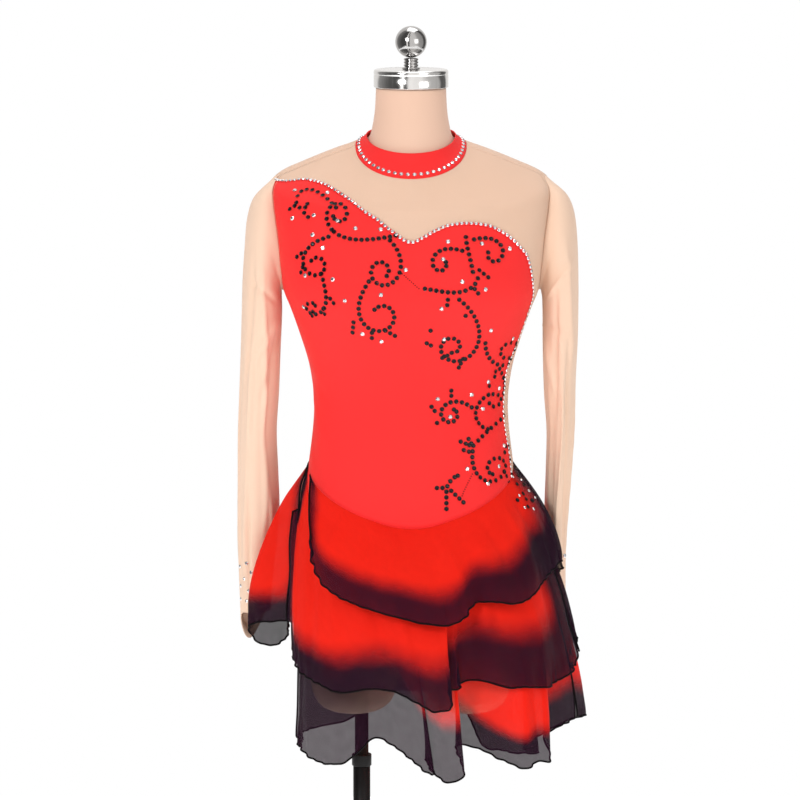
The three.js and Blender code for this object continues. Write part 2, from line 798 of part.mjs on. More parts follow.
function tier({ drop, layers, over, falls }, laid) {
  const numbered = falls.map((fall, i) => ({ ...fall, i }));
  const last = falls.length - 1;
  const columns = round(last * STEPS_PER_FALL);
  const drops = table(["share", "drop"], [0, drop[0]], [0.12, drop[1]], [1, drop[2]]);
  const grid = [];
  const sewn = [];
  for (let r = TIER_ROWS; r >= 0; r--) {
    const t = r / TIER_ROWS;
    const row = [];
    for (let c = 0; c <= columns; c++) {
      const share = c / columns;
      const fall = {};
      for (const column of FALL) fall[column] = smooth(numbered, "i", column, share * last);
      const angle = degrees(fall.top);
      const height = seamHeight(angle) - smooth(drops, "share", "drop", share);
      const start = above(angle, height, WALL_OUTER + LAP + WALL);
      if (r === 0) sewn.push(above(angle, height, WALL_OUTER + LAP));
      const flare = 1 - (1 - t) ** FLARE;
      const out = (4 * t * (1 - t) * fall.swell) / Math.hypot(fall.x, fall.y);
      const point = new THREE.Vector3(
        mix(start.x, fall.x, flare) + out * fall.x,
        mix(start.y, fall.y, flare) + out * fall.y,
        mix(start.z, fall.z, t),
      );
      if (r > 0) {
        clearOfHips(point, WALL_OUTER + HIP_CLEARANCE + WALL + layers * LAYER);
        for (const name of over) clearOfTier(point, laid[name], TIER_CLEARANCE);
      }
      row.push(point);
    }
    grid.push(row);
  }
  return { grid, sewn };
}

function skirt() {
  const laid = {};
  const geometries = {};
  for (const [name, cut] of Object.entries(TIERS)) {
    const { grid, sewn } = tier(cut, laid);
    laid[name] = grid;
    geometries[name] = hung(grid, sewn);
  }
  return geometries;
}

// The dress form: the torso down to its rounded underside, with two short thigh stubs.
const STUB = table(
  ["z", "halfWidth", "halfDepth"],
  [666, 16, 18],
  [668, 32, 40],
  [675, 45, 55],
  [687, 53, 65],
  [705, 57, 71],
  [745, 58, 76],
  [786, 56, 78],
);
const STUB_X = 75;
const STUB_Y = 6;
const FORM_COLUMNS = 40;
const STUB_COLUMNS = 18;

function dressForm() {
  const ring = (height) =>
    Array.from({ length: FORM_COLUMNS }, (_, c) => above((2 * PI * c) / FORM_COLUMNS, height, -FORM_EASE));
  const under = [0.25, 0.5, 0.75, 0.93].map((s) => HIP_LOW - UNDERSIDE * sqrt(1 - s * s));
  const heights = [795, 835, 880, 925, 970, 1010, 1045, 1080, 1115, 1150, 1185, 1215, 1243, 1270, 1300];
  heights.push(1330, 1352, 1366, 1376, 1386, 1395, 1403, 1411, 1419, 1430, 1455, RINGS.at(-1).height);
  let solid = toSolid(loft([...under, ...heights].map(ring)));
  for (const side of [-1, 1]) {
    const stub = STUB.map(({ z, halfWidth, halfDepth }) =>
      Array.from({ length: STUB_COLUMNS }, (_, c) => {
        const angle = (2 * PI * c) / STUB_COLUMNS;
        const x = side * STUB_X + halfWidth * sin(angle);
        return new THREE.Vector3(x, STUB_Y - halfDepth * cos(angle), z);
      }),
    );
    solid = solid.add(toSolid(loft(stub)));
  }
  return fromSolid(solid);
}

// A turned piece: its profile runs up from the axis or closes on itself.
function turned(profile, segments = 32) {
  const points = profile.map(([radius, z]) => new THREE.Vector2(radius, z));
  return new THREE.LatheGeometry(points, segments).rotateX(PI / 2);
}

// The neck cap, the finial and the stand.
const CAP = { radius: 48.4, low: RINGS.at(-1).height + 0.3, high: 1512.5, round: 3 };
const BALL = { radius: 20.5, z: 1548 };
const STEM = { radius: 9.6, groove: 7.6, foot: 12 };
const POLE = { x: -65, y: 6, radius: 9, low: 350, high: STUB[0].z - 0.3 };
const TUBE = { radius: 11.3, bore: 9.4, top: 590 };
const LOCK = { radius: 13, height: 16, edge: 1.5 };
const BASE = { radius: 185, height: 9, edge: 4, hub: 24, hubHeight: 16 };

function neckCap() {
  const { radius, low, high, round: edge } = CAP;
  return turned([
    [0, low],
    [radius, low],
    [radius, high - edge],
    [radius - 0.9, high - 0.9],
    [radius - edge, high],
    [0, high],
  ], 40);
}

function finialStem() {
  const low = CAP.high + 0.3;
  const high = BALL.z - BALL.radius - 0.3;
  const beads = 3;
  const bead = (high - low - 3) / beads;
  const profile = [[0, low], [STEM.foot, low], [STEM.foot, low + 2], [STEM.groove, low + 3]];
  for (let i = 0; i < beads; i++) {
    const z = low + 3 + i * bead;
    profile.push([STEM.radius, z + bead * 0.3], [STEM.radius, z + bead * 0.7], [STEM.groove, z + bead]);
  }
  profile.push([0, high]);
  return turned(profile, 18);
}

function finialBall() {
  return new THREE.SphereGeometry(BALL.radius, 20, 12).rotateX(PI / 2).translate(0, 0, BALL.z);
}

function upperPole() {
  return turned([[0, POLE.low], [POLE.radius, POLE.low], [POLE.radius, POLE.high], [0, POLE.high]], 24);
}

function lowerTube() {
  const low = BASE.hubHeight + 0.3;
  const { radius, bore, top } = TUBE;
  return turned([[bore, low], [radius, low], [radius, top], [bore, top], [bore, low]], 24);
}

function lockCollar() {
  const low = TUBE.top + 0.3;
  const high = low + LOCK.height;
  const { radius, edge } = LOCK;
  return turned([
    [TUBE.bore, low],
    [radius - edge, low],
    [radius, low + edge],
    [radius, high - edge],
    [radius - edge, high],
    [TUBE.bore, high],
    [TUBE.bore, low],
  ], 24);
}

function basePlate() {
  const { radius, height, edge, hub, hubHeight } = BASE;
  const rim = [[radius, 0], [radius, height - edge], [radius - edge, height]];
  const plate = turned([[0, 0], ...rim, [0, height]], 56);
  const boss = turned([[0, 1], [hub, 1], [hub, height + 2], [hub - 5, hubHeight], [0, hubHeight]], 28);
  boss.translate(POLE.x, POLE.y, 0);
  return fromSolid(toSolid(plate).add(toSolid(boss)));
}

const LOOKS = {
  stretchRed: { color: 0xff3c3c, roughness: 0.8, metalness: 0 },
  sheerNude: { color: 0xf4d0b0, roughness: 0.85, metalness: 0 },
  chiffon: { color: 0xe02a20, roughness: 0.75, metalness: 0 },
  formCover: { color: 0xf2cbac, roughness: 0.9, metalness: 0 },
  chrome: { color: 0xd8d8dc, roughness: 0.15, metalness: 1 },
  blackSteel: { color: 0x1a1414, roughness: 0.45, metalness: 0.6 },
};

const dress = new THREE.Group();
const form = new THREE.Group();
const stand = new THREE.Group();

function place(group, name, geometry, look, x = 0, y = 0) {
  const mesh = new THREE.Mesh(geometry, new THREE.MeshStandardMaterial(LOOKS[look]));
  mesh.name = name;
  mesh.position.set(x, y, 0);
  group.add(mesh);
}

place(dress, "bodice_front", bodiceFront(), "stretchRed");
place(dress, "yoke_front", yokeFront(), "sheerNude");
place(dress, "back_left", back(-1), "sheerNude");
place(dress, "back_right", back(1), "sheerNude");
place(dress, "collar_band", collarBand(), "stretchRed");
place(dress, "sleeve_left", sleeve(-1), "sheerNude");
place(dress, "sleeve_right", sleeve(1), "sheerNude");
place(dress, "brief", brief(), "stretchRed");
for (const [name, geometry] of Object.entries(skirt())) place(dress, name, geometry, "chiffon");

place(form, "dress_form", dressForm(), "formCover");
place(form, "neck_cap", neckCap(), "chrome");
place(form, "finial_stem", finialStem(), "chrome");
place(form, "finial_ball", finialBall(), "chrome");
place(form, "upper_pole", upperPole(), "blackSteel", POLE.x, POLE.y);

place(stand, "lock_collar", lockCollar(), "blackSteel", POLE.x, POLE.y);
place(stand, "lower_tube", lowerTube(), "blackSteel", POLE.x, POLE.y);
place(stand, "base_plate", basePlate(), "blackSteel");

const whole = new THREE.Group();
whole.add(dress, form, stand);

export default whole;
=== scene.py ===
import json
import math

import bpy
import numpy as np
from mathutils import Vector
from mathutils.bvhtree import BVHTree
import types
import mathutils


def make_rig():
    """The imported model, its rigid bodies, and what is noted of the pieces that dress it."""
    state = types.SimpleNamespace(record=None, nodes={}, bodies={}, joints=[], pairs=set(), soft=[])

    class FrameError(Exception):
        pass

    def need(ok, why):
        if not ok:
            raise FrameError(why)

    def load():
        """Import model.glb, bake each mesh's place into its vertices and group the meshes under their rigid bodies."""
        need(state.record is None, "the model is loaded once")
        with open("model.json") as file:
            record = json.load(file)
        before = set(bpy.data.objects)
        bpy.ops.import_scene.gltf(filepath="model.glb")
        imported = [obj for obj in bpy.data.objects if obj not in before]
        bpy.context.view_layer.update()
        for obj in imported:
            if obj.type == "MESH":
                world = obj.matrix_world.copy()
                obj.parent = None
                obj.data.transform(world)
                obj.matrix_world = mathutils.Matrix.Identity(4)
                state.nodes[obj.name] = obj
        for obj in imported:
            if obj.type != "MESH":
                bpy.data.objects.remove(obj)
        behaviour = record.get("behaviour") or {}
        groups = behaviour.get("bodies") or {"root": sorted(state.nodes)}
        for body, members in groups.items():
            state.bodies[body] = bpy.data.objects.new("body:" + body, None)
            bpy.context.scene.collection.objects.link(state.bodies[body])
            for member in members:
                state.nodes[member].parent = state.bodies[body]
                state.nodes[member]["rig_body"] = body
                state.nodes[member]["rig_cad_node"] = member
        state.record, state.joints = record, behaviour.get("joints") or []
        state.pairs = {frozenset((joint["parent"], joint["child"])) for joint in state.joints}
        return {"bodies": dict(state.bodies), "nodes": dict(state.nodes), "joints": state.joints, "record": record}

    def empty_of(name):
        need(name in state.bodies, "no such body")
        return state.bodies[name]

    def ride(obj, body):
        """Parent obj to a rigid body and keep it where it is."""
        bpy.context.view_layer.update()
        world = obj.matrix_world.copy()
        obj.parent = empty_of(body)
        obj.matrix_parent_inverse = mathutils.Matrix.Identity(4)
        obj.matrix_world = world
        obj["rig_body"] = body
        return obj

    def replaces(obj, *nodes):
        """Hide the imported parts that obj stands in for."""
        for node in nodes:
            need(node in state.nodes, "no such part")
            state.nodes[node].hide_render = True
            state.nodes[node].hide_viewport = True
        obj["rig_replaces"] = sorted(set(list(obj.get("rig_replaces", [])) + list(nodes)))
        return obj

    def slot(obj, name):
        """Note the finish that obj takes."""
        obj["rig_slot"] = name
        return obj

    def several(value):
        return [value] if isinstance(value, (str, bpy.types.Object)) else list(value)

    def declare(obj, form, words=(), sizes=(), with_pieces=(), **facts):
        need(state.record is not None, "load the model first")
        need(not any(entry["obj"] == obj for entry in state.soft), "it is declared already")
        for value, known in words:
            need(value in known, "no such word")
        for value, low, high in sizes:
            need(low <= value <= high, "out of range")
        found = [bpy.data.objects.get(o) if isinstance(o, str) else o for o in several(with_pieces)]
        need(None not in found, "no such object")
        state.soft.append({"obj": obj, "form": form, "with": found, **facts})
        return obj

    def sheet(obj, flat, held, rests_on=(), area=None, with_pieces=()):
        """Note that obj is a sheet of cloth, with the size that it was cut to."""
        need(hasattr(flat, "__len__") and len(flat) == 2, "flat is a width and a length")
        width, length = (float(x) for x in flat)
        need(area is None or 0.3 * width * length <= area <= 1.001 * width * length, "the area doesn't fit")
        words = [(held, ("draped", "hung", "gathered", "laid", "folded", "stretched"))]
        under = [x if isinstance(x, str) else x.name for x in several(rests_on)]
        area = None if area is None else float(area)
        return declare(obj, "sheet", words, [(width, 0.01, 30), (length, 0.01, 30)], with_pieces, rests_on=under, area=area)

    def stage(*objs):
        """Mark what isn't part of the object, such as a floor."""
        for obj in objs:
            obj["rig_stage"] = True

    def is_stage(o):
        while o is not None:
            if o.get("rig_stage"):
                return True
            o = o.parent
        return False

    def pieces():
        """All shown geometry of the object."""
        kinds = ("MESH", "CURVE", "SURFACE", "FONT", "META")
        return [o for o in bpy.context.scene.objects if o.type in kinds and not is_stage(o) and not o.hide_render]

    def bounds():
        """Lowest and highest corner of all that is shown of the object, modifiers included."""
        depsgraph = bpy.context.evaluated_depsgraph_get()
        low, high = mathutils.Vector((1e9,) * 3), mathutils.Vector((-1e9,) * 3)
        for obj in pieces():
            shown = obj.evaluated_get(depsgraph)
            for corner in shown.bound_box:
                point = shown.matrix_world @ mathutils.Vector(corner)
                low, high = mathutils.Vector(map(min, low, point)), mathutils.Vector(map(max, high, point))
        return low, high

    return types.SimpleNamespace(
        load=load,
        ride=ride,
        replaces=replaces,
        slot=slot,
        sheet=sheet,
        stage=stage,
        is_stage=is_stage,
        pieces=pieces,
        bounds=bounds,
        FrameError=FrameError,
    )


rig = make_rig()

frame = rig.load()
CAD_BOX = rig.bounds()

# Sizes are in millimetres and become metres where a mesh is made. The front faces -Y.
MM = 0.001
PI = math.pi


def degrees(angle):
    return angle * PI / 180


def full_turn(columns):
    """Angles once round, without the last one, which is the first again."""
    return 2 * PI * np.arange(columns) / columns


def mix(a, b, share):
    return a + (b - a) * share


def table(columns, *rows):
    """Rows of numbers as one array for each named column."""
    values = np.array(rows, dtype=float)
    return {name: values[:, i] for i, name in enumerate(columns)}


# The same values as in the part's source.
WALL_OUTER = 3.0
WALL = 1.2
RINGS = table(
    ["height", "centre", "tilt", "halfWidth", "front", "back", "power"],
    [795, 2, 0, 139, 102, 116, 2.4],
    [830, 2, 0, 141.5, 105, 123, 2.4],
    [870, 2, 0, 142, 107, 126, 2.4],
    [910, 2, 0, 140.5, 107, 121, 2.4],
    [950, 1, 0, 137, 105, 110, 2.4],
    [985, 1, 0, 132.5, 101, 98, 2.4],
    [1015, 0, 0, 128.5, 95, 85, 2.4],
    [1045, 0, 0, 125, 90, 76, 2.4],
    [1073, 0, 0, 123.5, 87, 72, 2.4],
    [1100, 0, 0, 125, 89, 74, 2.4],
    [1134, 0, 0, 131, 96, 80, 2.5],
    [1170, 0, 0, 142, 108, 88, 2.6],
    [1205, 0, 0, 154, 118, 94, 2.8],
    [1228, 0, 0, 163, 122, 97, 2.9],
    [1250, 0, 0.01, 166.5, 122, 98, 3.0],
    [1275, 1, 0.05, 170, 118, 99, 3.1],
    [1300, 2, 0.1, 173, 113, 99, 3.1],
    [1330, 3, 0.18, 176.5, 107, 97, 3.0],
    [1352, 4, 0.26, 178, 102, 94, 2.8],
    [1366, 4, 0.31, 176, 98, 92, 2.6],
    [1374, 4, 0.35, 165, 95, 90, 2.4],
    [1382, 3, 0.39, 146, 90, 87, 2.3],
    [1391, 2, 0.42, 124, 85, 83, 2.2],
    [1400, 1, 0.43, 101, 79, 78, 2.1],
    [1406, 0, 0.43, 84, 75, 73, 2.05],
    [1412, 0, 0.42, 70, 69, 66, 2],
    [1418, 0, 0.39, 60.5, 62, 60, 2],
    [1426, 0, 0.32, 55, 57, 55, 2],
    [1440, 0, 0.18, 51.5, 53, 51.5, 2],
    [1460, 0, 0.05, 48.5, 49, 48.5, 2],
    [1489, 0, 0, 47, 47, 47, 2],
)
HIP_LOW = RINGS["height"][0]
NECK_TOP = RINGS["height"][-1]
UNDERSIDE = 40
LEVELLING = 20
BUST = {"spread": 70, "level": 1243, "width": 50, "height": 48, "depth": 9}
ARMHOLE = {"middle": 1298, "halfHeight": 70, "front": 46, "back": 44}
ARMHOLE_TOP = ARMHOLE["middle"] + ARMHOLE["halfHeight"]
ARMHOLE_BOTTOM = ARMHOLE["middle"] - ARMHOLE["halfHeight"]
COLLAR_LOW = 1411.6
COLLAR_HIGH = 1426
SEAM_FRONT = table(
    ["angle", "height"],
    [-20, 938], [0, 926], [20, 938], [35, 950], [50, 963], [65, 976], [80, 989], [90, 997], [100, 1003],
)
SEAM_BACK = table(
    ["angle", "height"],
    [-30, 975], [0, 966], [30, 975], [60, 988], [90, 997], [110, 1003],
)
EDGE_LEFT = table(
    ["x", "z"],
    [-133, 1371], [-104, 1364.5], [-76, 1349], [-50, 1332], [-24, 1313], [-1, 1299],
)
EDGE_RIGHT = table(
    ["x", "z"],
    [-1, 1299], [14, 1305], [30, 1313.5], [47, 1320], [65, 1322.5], [82, 1322], [100, 1319],
    [112, 1313.5], [124, 1306], [137, 1293.5], [147, 1281],
)
EDGE_SIDE = table(
    ["x", "z"],
    [147, 1281], [152, 1264], [155, 1240], [151.5, 1210], [142.5, 1182], [132, 1154], [122, 1126],
    [119, 1098], [118, 1064], [121, 1040], [125.5, 1013], [128, 986],
)


def smooth(rows, key, column, at):
    """Where a smooth curve through the rows has `column` when it has `at` in the key column."""
    keys, values = rows[key], rows[column]
    at = np.asarray(at, dtype=float)
    last = len(keys) - 1
    i = np.clip(np.searchsorted(keys, at, side="right") - 1, 0, last - 1)
    low = np.maximum(np.arange(last + 1) - 1, 0)
    high = np.minimum(np.arange(last + 1) + 1, last)
    slope = (values[high] - values[low]) / (keys[high] - keys[low])
    span = keys[i + 1] - keys[i]
    t = np.clip((at - keys[i]) / span, 0, 1)
    return (
        values[i] * (2 * t**3 - 3 * t**2 + 1)
        + span * slope[i] * (t**3 - 2 * t**2 + t)
        + values[i + 1] * (3 * t**2 - 2 * t**3)
        + span * slope[i + 1] * (t**3 - t**2)
    )


def eased(value, low, high):
    t = np.clip((value - low) / (high - low), 0, 1)
    return t * t * (3 - 2 * t)


def ring_at(height):
    return {name: smooth(RINGS, "height", name, height) for name in RINGS}


def skin(angle, height):
    """Points of the form's skin. The angle is 0 at the front and grows towards +X."""
    angle, height = np.broadcast_arrays(np.asarray(angle, float), np.asarray(height, float))
    ring = ring_at(np.maximum(height, HIP_LOW))
    under = np.clip((HIP_LOW - height) / UNDERSIDE, 0, 1)
    share = np.sqrt(1 - under**2)
    bend = 2 / ring["power"]
    across, ahead = np.sin(angle), np.cos(angle)
    x = ring["halfWidth"] * np.sign(across) * np.abs(across) ** bend
    reach = np.where(ahead > 0, ring["front"], ring["back"]) * np.sign(ahead) * np.abs(ahead) ** bend
    beside = (np.abs(x) - BUST["spread"]) / BUST["width"]
    over = (height - BUST["level"]) / BUST["height"]
    bust = BUST["depth"] * np.maximum(0, ahead) * np.exp(-(beside**2) - over**2)
    y = -reach - bust
    rise = ring["tilt"] * np.where(y < 0, y, LEVELLING * (1 - np.exp(-np.maximum(y, 0) / LEVELLING)))
    return np.stack([share * x, ring["centre"] + share * y, height + rise], -1)


def unit(vectors):
    return vectors / np.maximum(np.linalg.norm(vectors, axis=-1, keepdims=True), 1e-9)


def above(angle, height, distance):
    """The same points moved out from the skin."""
    turn, step = 0.01, 0.5
    low = np.maximum(height - step, HIP_LOW - UNDERSIDE + 0.01)
    along = skin(angle + turn, height) - skin(angle - turn, height)
    up = skin(angle, height + step) - skin(angle, low)
    return skin(angle, height) + distance * unit(np.cross(along, up))


def on_skin(places, distance):
    return above(places[..., 0], places[..., 1], distance)


def seam_height(angle):
    turned = np.abs(np.arctan2(np.sin(angle), np.cos(angle)))
    front = smooth(SEAM_FRONT, "angle", "height", np.degrees(turned))
    back = smooth(SEAM_BACK, "angle", "height", np.degrees(PI - turned))
    return np.where(turned <= PI / 2, front, back)


def locate(x, z):
    """The angles and rings of the skin's points that are seen from the front at x and z."""
    x, z = np.asarray(x, float), np.asarray(z, float)
    height = z.copy()
    for _ in range(90):
        ring = ring_at(height)
        across = np.abs(x) / ring["halfWidth"]
        angle = np.sign(x) * np.arcsin(np.minimum(1, across ** (ring["power"] / 2)))
        height = height + 0.3 * (z - skin(angle, height)[..., 2])
    return np.stack([angle, height], -1)


def armhole(side, turn, grow=0):
    """The armhole's edge: turn is 0 at the shoulder, a quarter at the back and a half under the arm."""
    height = ARMHOLE["middle"] + (ARMHOLE["halfHeight"] + grow) * np.cos(turn)
    ring = ring_at(height)
    to_back = np.sin(turn) >= 0
    away = np.abs(np.sin(turn)) * (np.where(to_back, ARMHOLE["back"], ARMHOLE["front"]) + grow)
    depth = np.where(to_back, ring["back"], ring["front"])
    half = np.arccos(np.minimum(1, away / depth) ** (ring["power"] / 2))
    return np.stack([side * np.where(to_back, PI - half, half), height], -1)


def run_lengths(points):
    """How far along a line each of its points lies."""
    return np.concatenate([[0], np.cumsum(np.linalg.norm(np.diff(points, axis=0), axis=1))])


def along_line(at, length, points):
    """The points a given way along a line, or the same mix of what belongs to its points."""
    return np.stack([np.interp(at, length, column) for column in points.T], -1)


def route(places):
    """A curve through places on the skin: share 0 to 1 runs along it by length."""
    angle, height = places.T
    rows = {"length": run_lengths(skin(angle, height)), "angle": angle, "height": height}
    total = rows["length"][-1]

    def curve(share):
        return np.stack([smooth(rows, "length", k, share * total) for k in ("angle", "height")], -1)

    return curve


def stations(*legs):
    """Several curves end to end, each with its own number of steps."""
    parts = []
    for curve, steps in legs:
        share = np.arange(1 if parts else 0, steps + 1) / steps
        parts.append(curve(share))
    return np.concatenate(parts)


FINE = 6  # steps here for each step of the solids
EDGE_STEPS = {"left": 9 * FINE, "right": 11 * FINE, "side": 15 * FINE}
SCYE_STEPS = 8 * FINE
FRONT_STEP = 0.0004


def bodice_edges():
    tip = [degrees(-90) + 0.002, ARMHOLE_TOP + 0.5]
    near_tip = [degrees(-79), ARMHOLE_TOP + 8]
    left = np.concatenate([[tip, near_tip], locate(EDGE_LEFT["x"], EDGE_LEFT["z"])])
    right = locate(EDGE_RIGHT["x"], EDGE_RIGHT["z"])
    side = locate(EDGE_SIDE["x"], EDGE_SIDE["z"])
    side[-1, 1] = seam_height(side[-1, 0])
    return stations(
        (route(left), EDGE_STEPS["left"]),
        (route(right), EDGE_STEPS["right"]),
        (route(side), EDGE_STEPS["side"]),
    )


def scye_angle(height):
    """The angle of the left armhole's front edge at a height."""
    above_middle = (height - ARMHOLE["middle"]) / ARMHOLE["halfHeight"]
    return armhole(-1, 2 * PI - np.arccos(np.clip(above_middle, -1, 1)))[..., 0]


def beside(places, distance):
    """The same places moved sideways over the skin, to the left of the way they run."""
    turn, rise = 0.002, 0.2
    here = skin(places[:, 0], places[:, 1])
    ahead = np.concatenate([here[1:], here[-1:]]) - np.concatenate([here[:1], here[:-1]])
    along = (skin(places[:, 0] + turn, places[:, 1]) - here) / turn
    up = (skin(places[:, 0], places[:, 1] + rise) - here) / rise
    aside = np.cross(unit(np.cross(along, up)), unit(ahead)) * distance
    aa, au, uu = (along * along).sum(-1), (along * up).sum(-1), (up * up).sum(-1)
    ta, tu = (along * aside).sum(-1), (up * aside).sum(-1)
    scale = aa * uu - au * au
    return places + np.stack([(ta * uu - tu * au) / scale, (tu * aa - ta * au) / scale], -1)


# Meshes


def mesh_object(name, points, faces, material, uvs=None, rounded=True):
    mesh = bpy.data.meshes.new(name)
    mesh.from_pydata((np.asarray(points) * MM).tolist(), [], [tuple(f) for f in faces])
    mesh.polygons.foreach_set("use_smooth", np.full(len(mesh.polygons), rounded))
    if uvs is not None:
        layer = mesh.uv_layers.new(name="cloth")
        layer.data.foreach_set("uv", np.asarray(uvs, dtype=np.float32).ravel())
    mesh.materials.append(material)
    mesh.update()
    obj = bpy.data.objects.new(name, mesh)
    bpy.context.scene.collection.objects.link(obj)
    return obj


def normals_of(outer, closed=False):
    if closed:
        along = np.roll(outer, -1, 1) - np.roll(outer, 1, 1)
    else:
        along = np.gradient(outer, axis=1)
    return unit(np.cross(along, np.gradient(outer, axis=0)))


def grid_lengths(outer, closed=False):
    """Distances in millimetres from the lowest row and from the first column."""
    up = np.linalg.norm(np.diff(outer, axis=0), axis=-1)
    up = np.concatenate([np.zeros((1, outer.shape[1])), np.cumsum(up, 0)])
    ring = np.concatenate([outer, outer[:, :1]], 1) if closed else outer
    along = np.linalg.norm(np.diff(ring, axis=1), axis=-1)
    along = np.concatenate([np.zeros((outer.shape[0], 1)), np.cumsum(along, 1)], 1)
    return up, along


def shell(name, outer, material, thickness, closed=False, fields=None):
    """A thin closed shell under a grid of points, whose rows run upwards and whose columns run towards
    +X at the front. Its weave coordinates are in millimetres, and fields are values for each point."""
    rows, columns = outer.shape[:2]
    inner = outer - thickness * normals_of(outer, closed)
    count = rows * columns
    points = np.concatenate([outer.reshape(-1, 3), inner.reshape(-1, 3)])
    spans = columns if closed else columns - 1
    r, c = np.meshgrid(np.arange(rows - 1), np.arange(spans), indexing="ij")
    r, c = r.ravel(), c.ravel()
    right = (c + 1) % columns
    a, b, d, e = r * columns + c, r * columns + right, (r + 1) * columns + right, (r + 1) * columns + c
    up, along = grid_lengths(outer, closed)
    middle = along[rows // 2]
    height = up.mean(1)
    u = np.stack([middle[c], middle[c + 1], middle[c + 1], middle[c]], 1)
    v = np.stack([height[r], height[r], height[r + 1], height[r + 1]], 1)
    faces = [np.stack([a, b, d, e], 1), np.stack([b, a, e, d], 1) + count]
    uvs = [np.stack([u, v], -1), np.stack([u[:, [1, 0, 3, 2]], v[:, [1, 0, 3, 2]]], -1)]

    def rim(start, end, at_u, at_v):
        faces.append(np.stack([end, start, start + count, end + count], 1))
        each = (len(start), 4)
        uvs.append(np.stack([np.broadcast_to(at_u, each), np.broadcast_to(at_v, each)], -1))

    across = np.arange(spans)
    after = (across + 1) % columns
    upward = np.arange(rows - 1)
    top = (rows - 1) * columns
    rim(across, after, middle[across][:, None], 0.0)
    rim(top + after, top + across, middle[across][:, None], height[-1])
    if not closed:
        rim((upward + 1) * columns, upward * columns, 0.0, height[upward][:, None])
        last = columns - 1
        rim(upward * columns + last, (upward + 1) * columns + last, middle[-1], height[upward][:, None])
    obj = mesh_object(name, points, np.concatenate(faces), material, np.concatenate(uvs) * MM)
    for field, values in (fields or {}).items():
        data = obj.data.attributes.new(field, "FLOAT", "POINT")
        data.data.foreach_set("value", np.concatenate([values.ravel()] * 2).astype(np.float32))
    return obj


def tube(name, path, radius, material, sides=8, closed=False):
    """A round cord along a path of points, with its ends closed."""
    path = np.asarray(path, float)
    count = len(path)
    if closed:
        ahead = np.roll(path, -1, 0) - np.roll(path, 1, 0)
    else:
        ahead = np.gradient(path, axis=0)
    ahead = unit(ahead)
    side = np.zeros_like(path)
    start = np.cross(ahead[0], [0.0, 0.0, 1.0])
    if np.linalg.norm(start) < 0.1:
        start = np.cross(ahead[0], [1.0, 0.0, 0.0])
    side[0] = unit(start)
    for i in range(1, count):
        side[i] = unit(side[i - 1] - ahead[i] * (side[i - 1] @ ahead[i]))
    other = np.cross(ahead, side)
    turn = 2 * PI * np.arange(sides) / sides
    reach = np.broadcast_to(np.asarray(radius, float), (count,))[:, None, None]
    cosine, sine = np.cos(turn)[:, None], np.sin(turn)[:, None]
    points = path[:, None] + reach * (side[:, None] * cosine + other[:, None] * sine)
    faces = []
    for r in range(count if closed else count - 1):
        after = (r + 1) % count
        for c in range(sides):
            d = (c + 1) % sides
            faces.append((r * sides + c, r * sides + d, after * sides + d, after * sides + c))
    if not closed:
        faces.append(tuple(range(sides))[::-1])
        faces.append(tuple((count - 1) * sides + c for c in range(sides)))
    return mesh_object(name, points.reshape(-1, 3), faces, material)


def joined(name, parts, material):
    """Many small meshes, each as points and faces, in one object."""
    points, faces, base = [], [], 0
    for part_points, part_faces in parts:
        points.append(part_points)
        faces += [tuple(i + base for i in face) for face in part_faces]
        base += len(part_points)
    return mesh_object(name, np.concatenate(points), faces, material)


def turned(name, profile, material, segments=96, x=0.0, y=0.0):
    """A turned piece: its profile runs up from the axis or closes on itself."""
    points, faces, rows = [], [], []
    for radius, z in profile:
        if radius < 1e-6:
            rows.append([len(points)] * segments)
            points.append((x, y, z))
            continue
        rows.append(list(range(len(points), len(points) + segments)))
        for i in range(segments):
            a = 2 * PI * i / segments
            points.append((x + radius * math.cos(a), y + radius * math.sin(a), z))
    pairs = list(zip(rows, rows[1:]))
    if profile[0][0] > 1e-6:
        pairs.append((rows[-1], rows[0]))
    for low, high in pairs:
        for i in range(segments):
            j = (i + 1) % segments
            face = [low[i], low[j], high[j], high[i]]
            faces.append(tuple(dict.fromkeys(face)))
    return mesh_object(name, points, faces, material)


def arc(radius, height, reach, start, end, steps=6):
    """Points of a rounded edge of a profile, about a centre, between two angles in degrees."""
    angles = [degrees(mix(start, end, i / steps)) for i in range(steps + 1)]
    return [(radius + reach * math.cos(a), height + reach * math.sin(a)) for a in angles]


def creased(outer, rows, closed=False, normals=None):
    """Adds the listed soft ridges and troughs. Each row is one crease from a place to a place of the
    grid, as shares of its width and height, with its width and its depth in millimetres."""
    up, along = grid_lengths(outer, closed)
    count_r, count_c = outer.shape[:2]
    wide, tall = along[:, -1].mean(), up[-1].mean()
    if closed:
        u = np.broadcast_to(np.arange(count_c) / count_c, (count_r, count_c))
    else:
        u = along / along[:, -1:]
    v = up / up[-1:]
    raised = np.zeros((count_r, count_c))
    for u0, v0, u1, v1, width, depth in zip(*(rows[k] for k in CREASE)):
        dx, dy = (u1 - u0) * wide, (v1 - v0) * tall
        px, py = (u - u0) * wide, (v - v0) * tall
        if closed:
            px = (px + wide / 2) % wide - wide / 2
        length = math.hypot(dx, dy)
        t = (px * dx + py * dy) / length**2
        off = (px * dy - py * dx) / length - 0.03 * length * np.sin(2.6 * t + u0 * 40)
        ends = np.clip(np.minimum(t + 0.08, 1.08 - t) / 0.35, 0, 1)
        ends = ends * ends * (3 - 2 * ends)
        raised += depth * ends * np.exp(-((off / width) ** 2))
    return outer + raised[..., None] * (normals_of(outer, closed) if normals is None else normals)


CREASE = ["u0", "v0", "u1", "v1", "width", "depth"]


# Materials


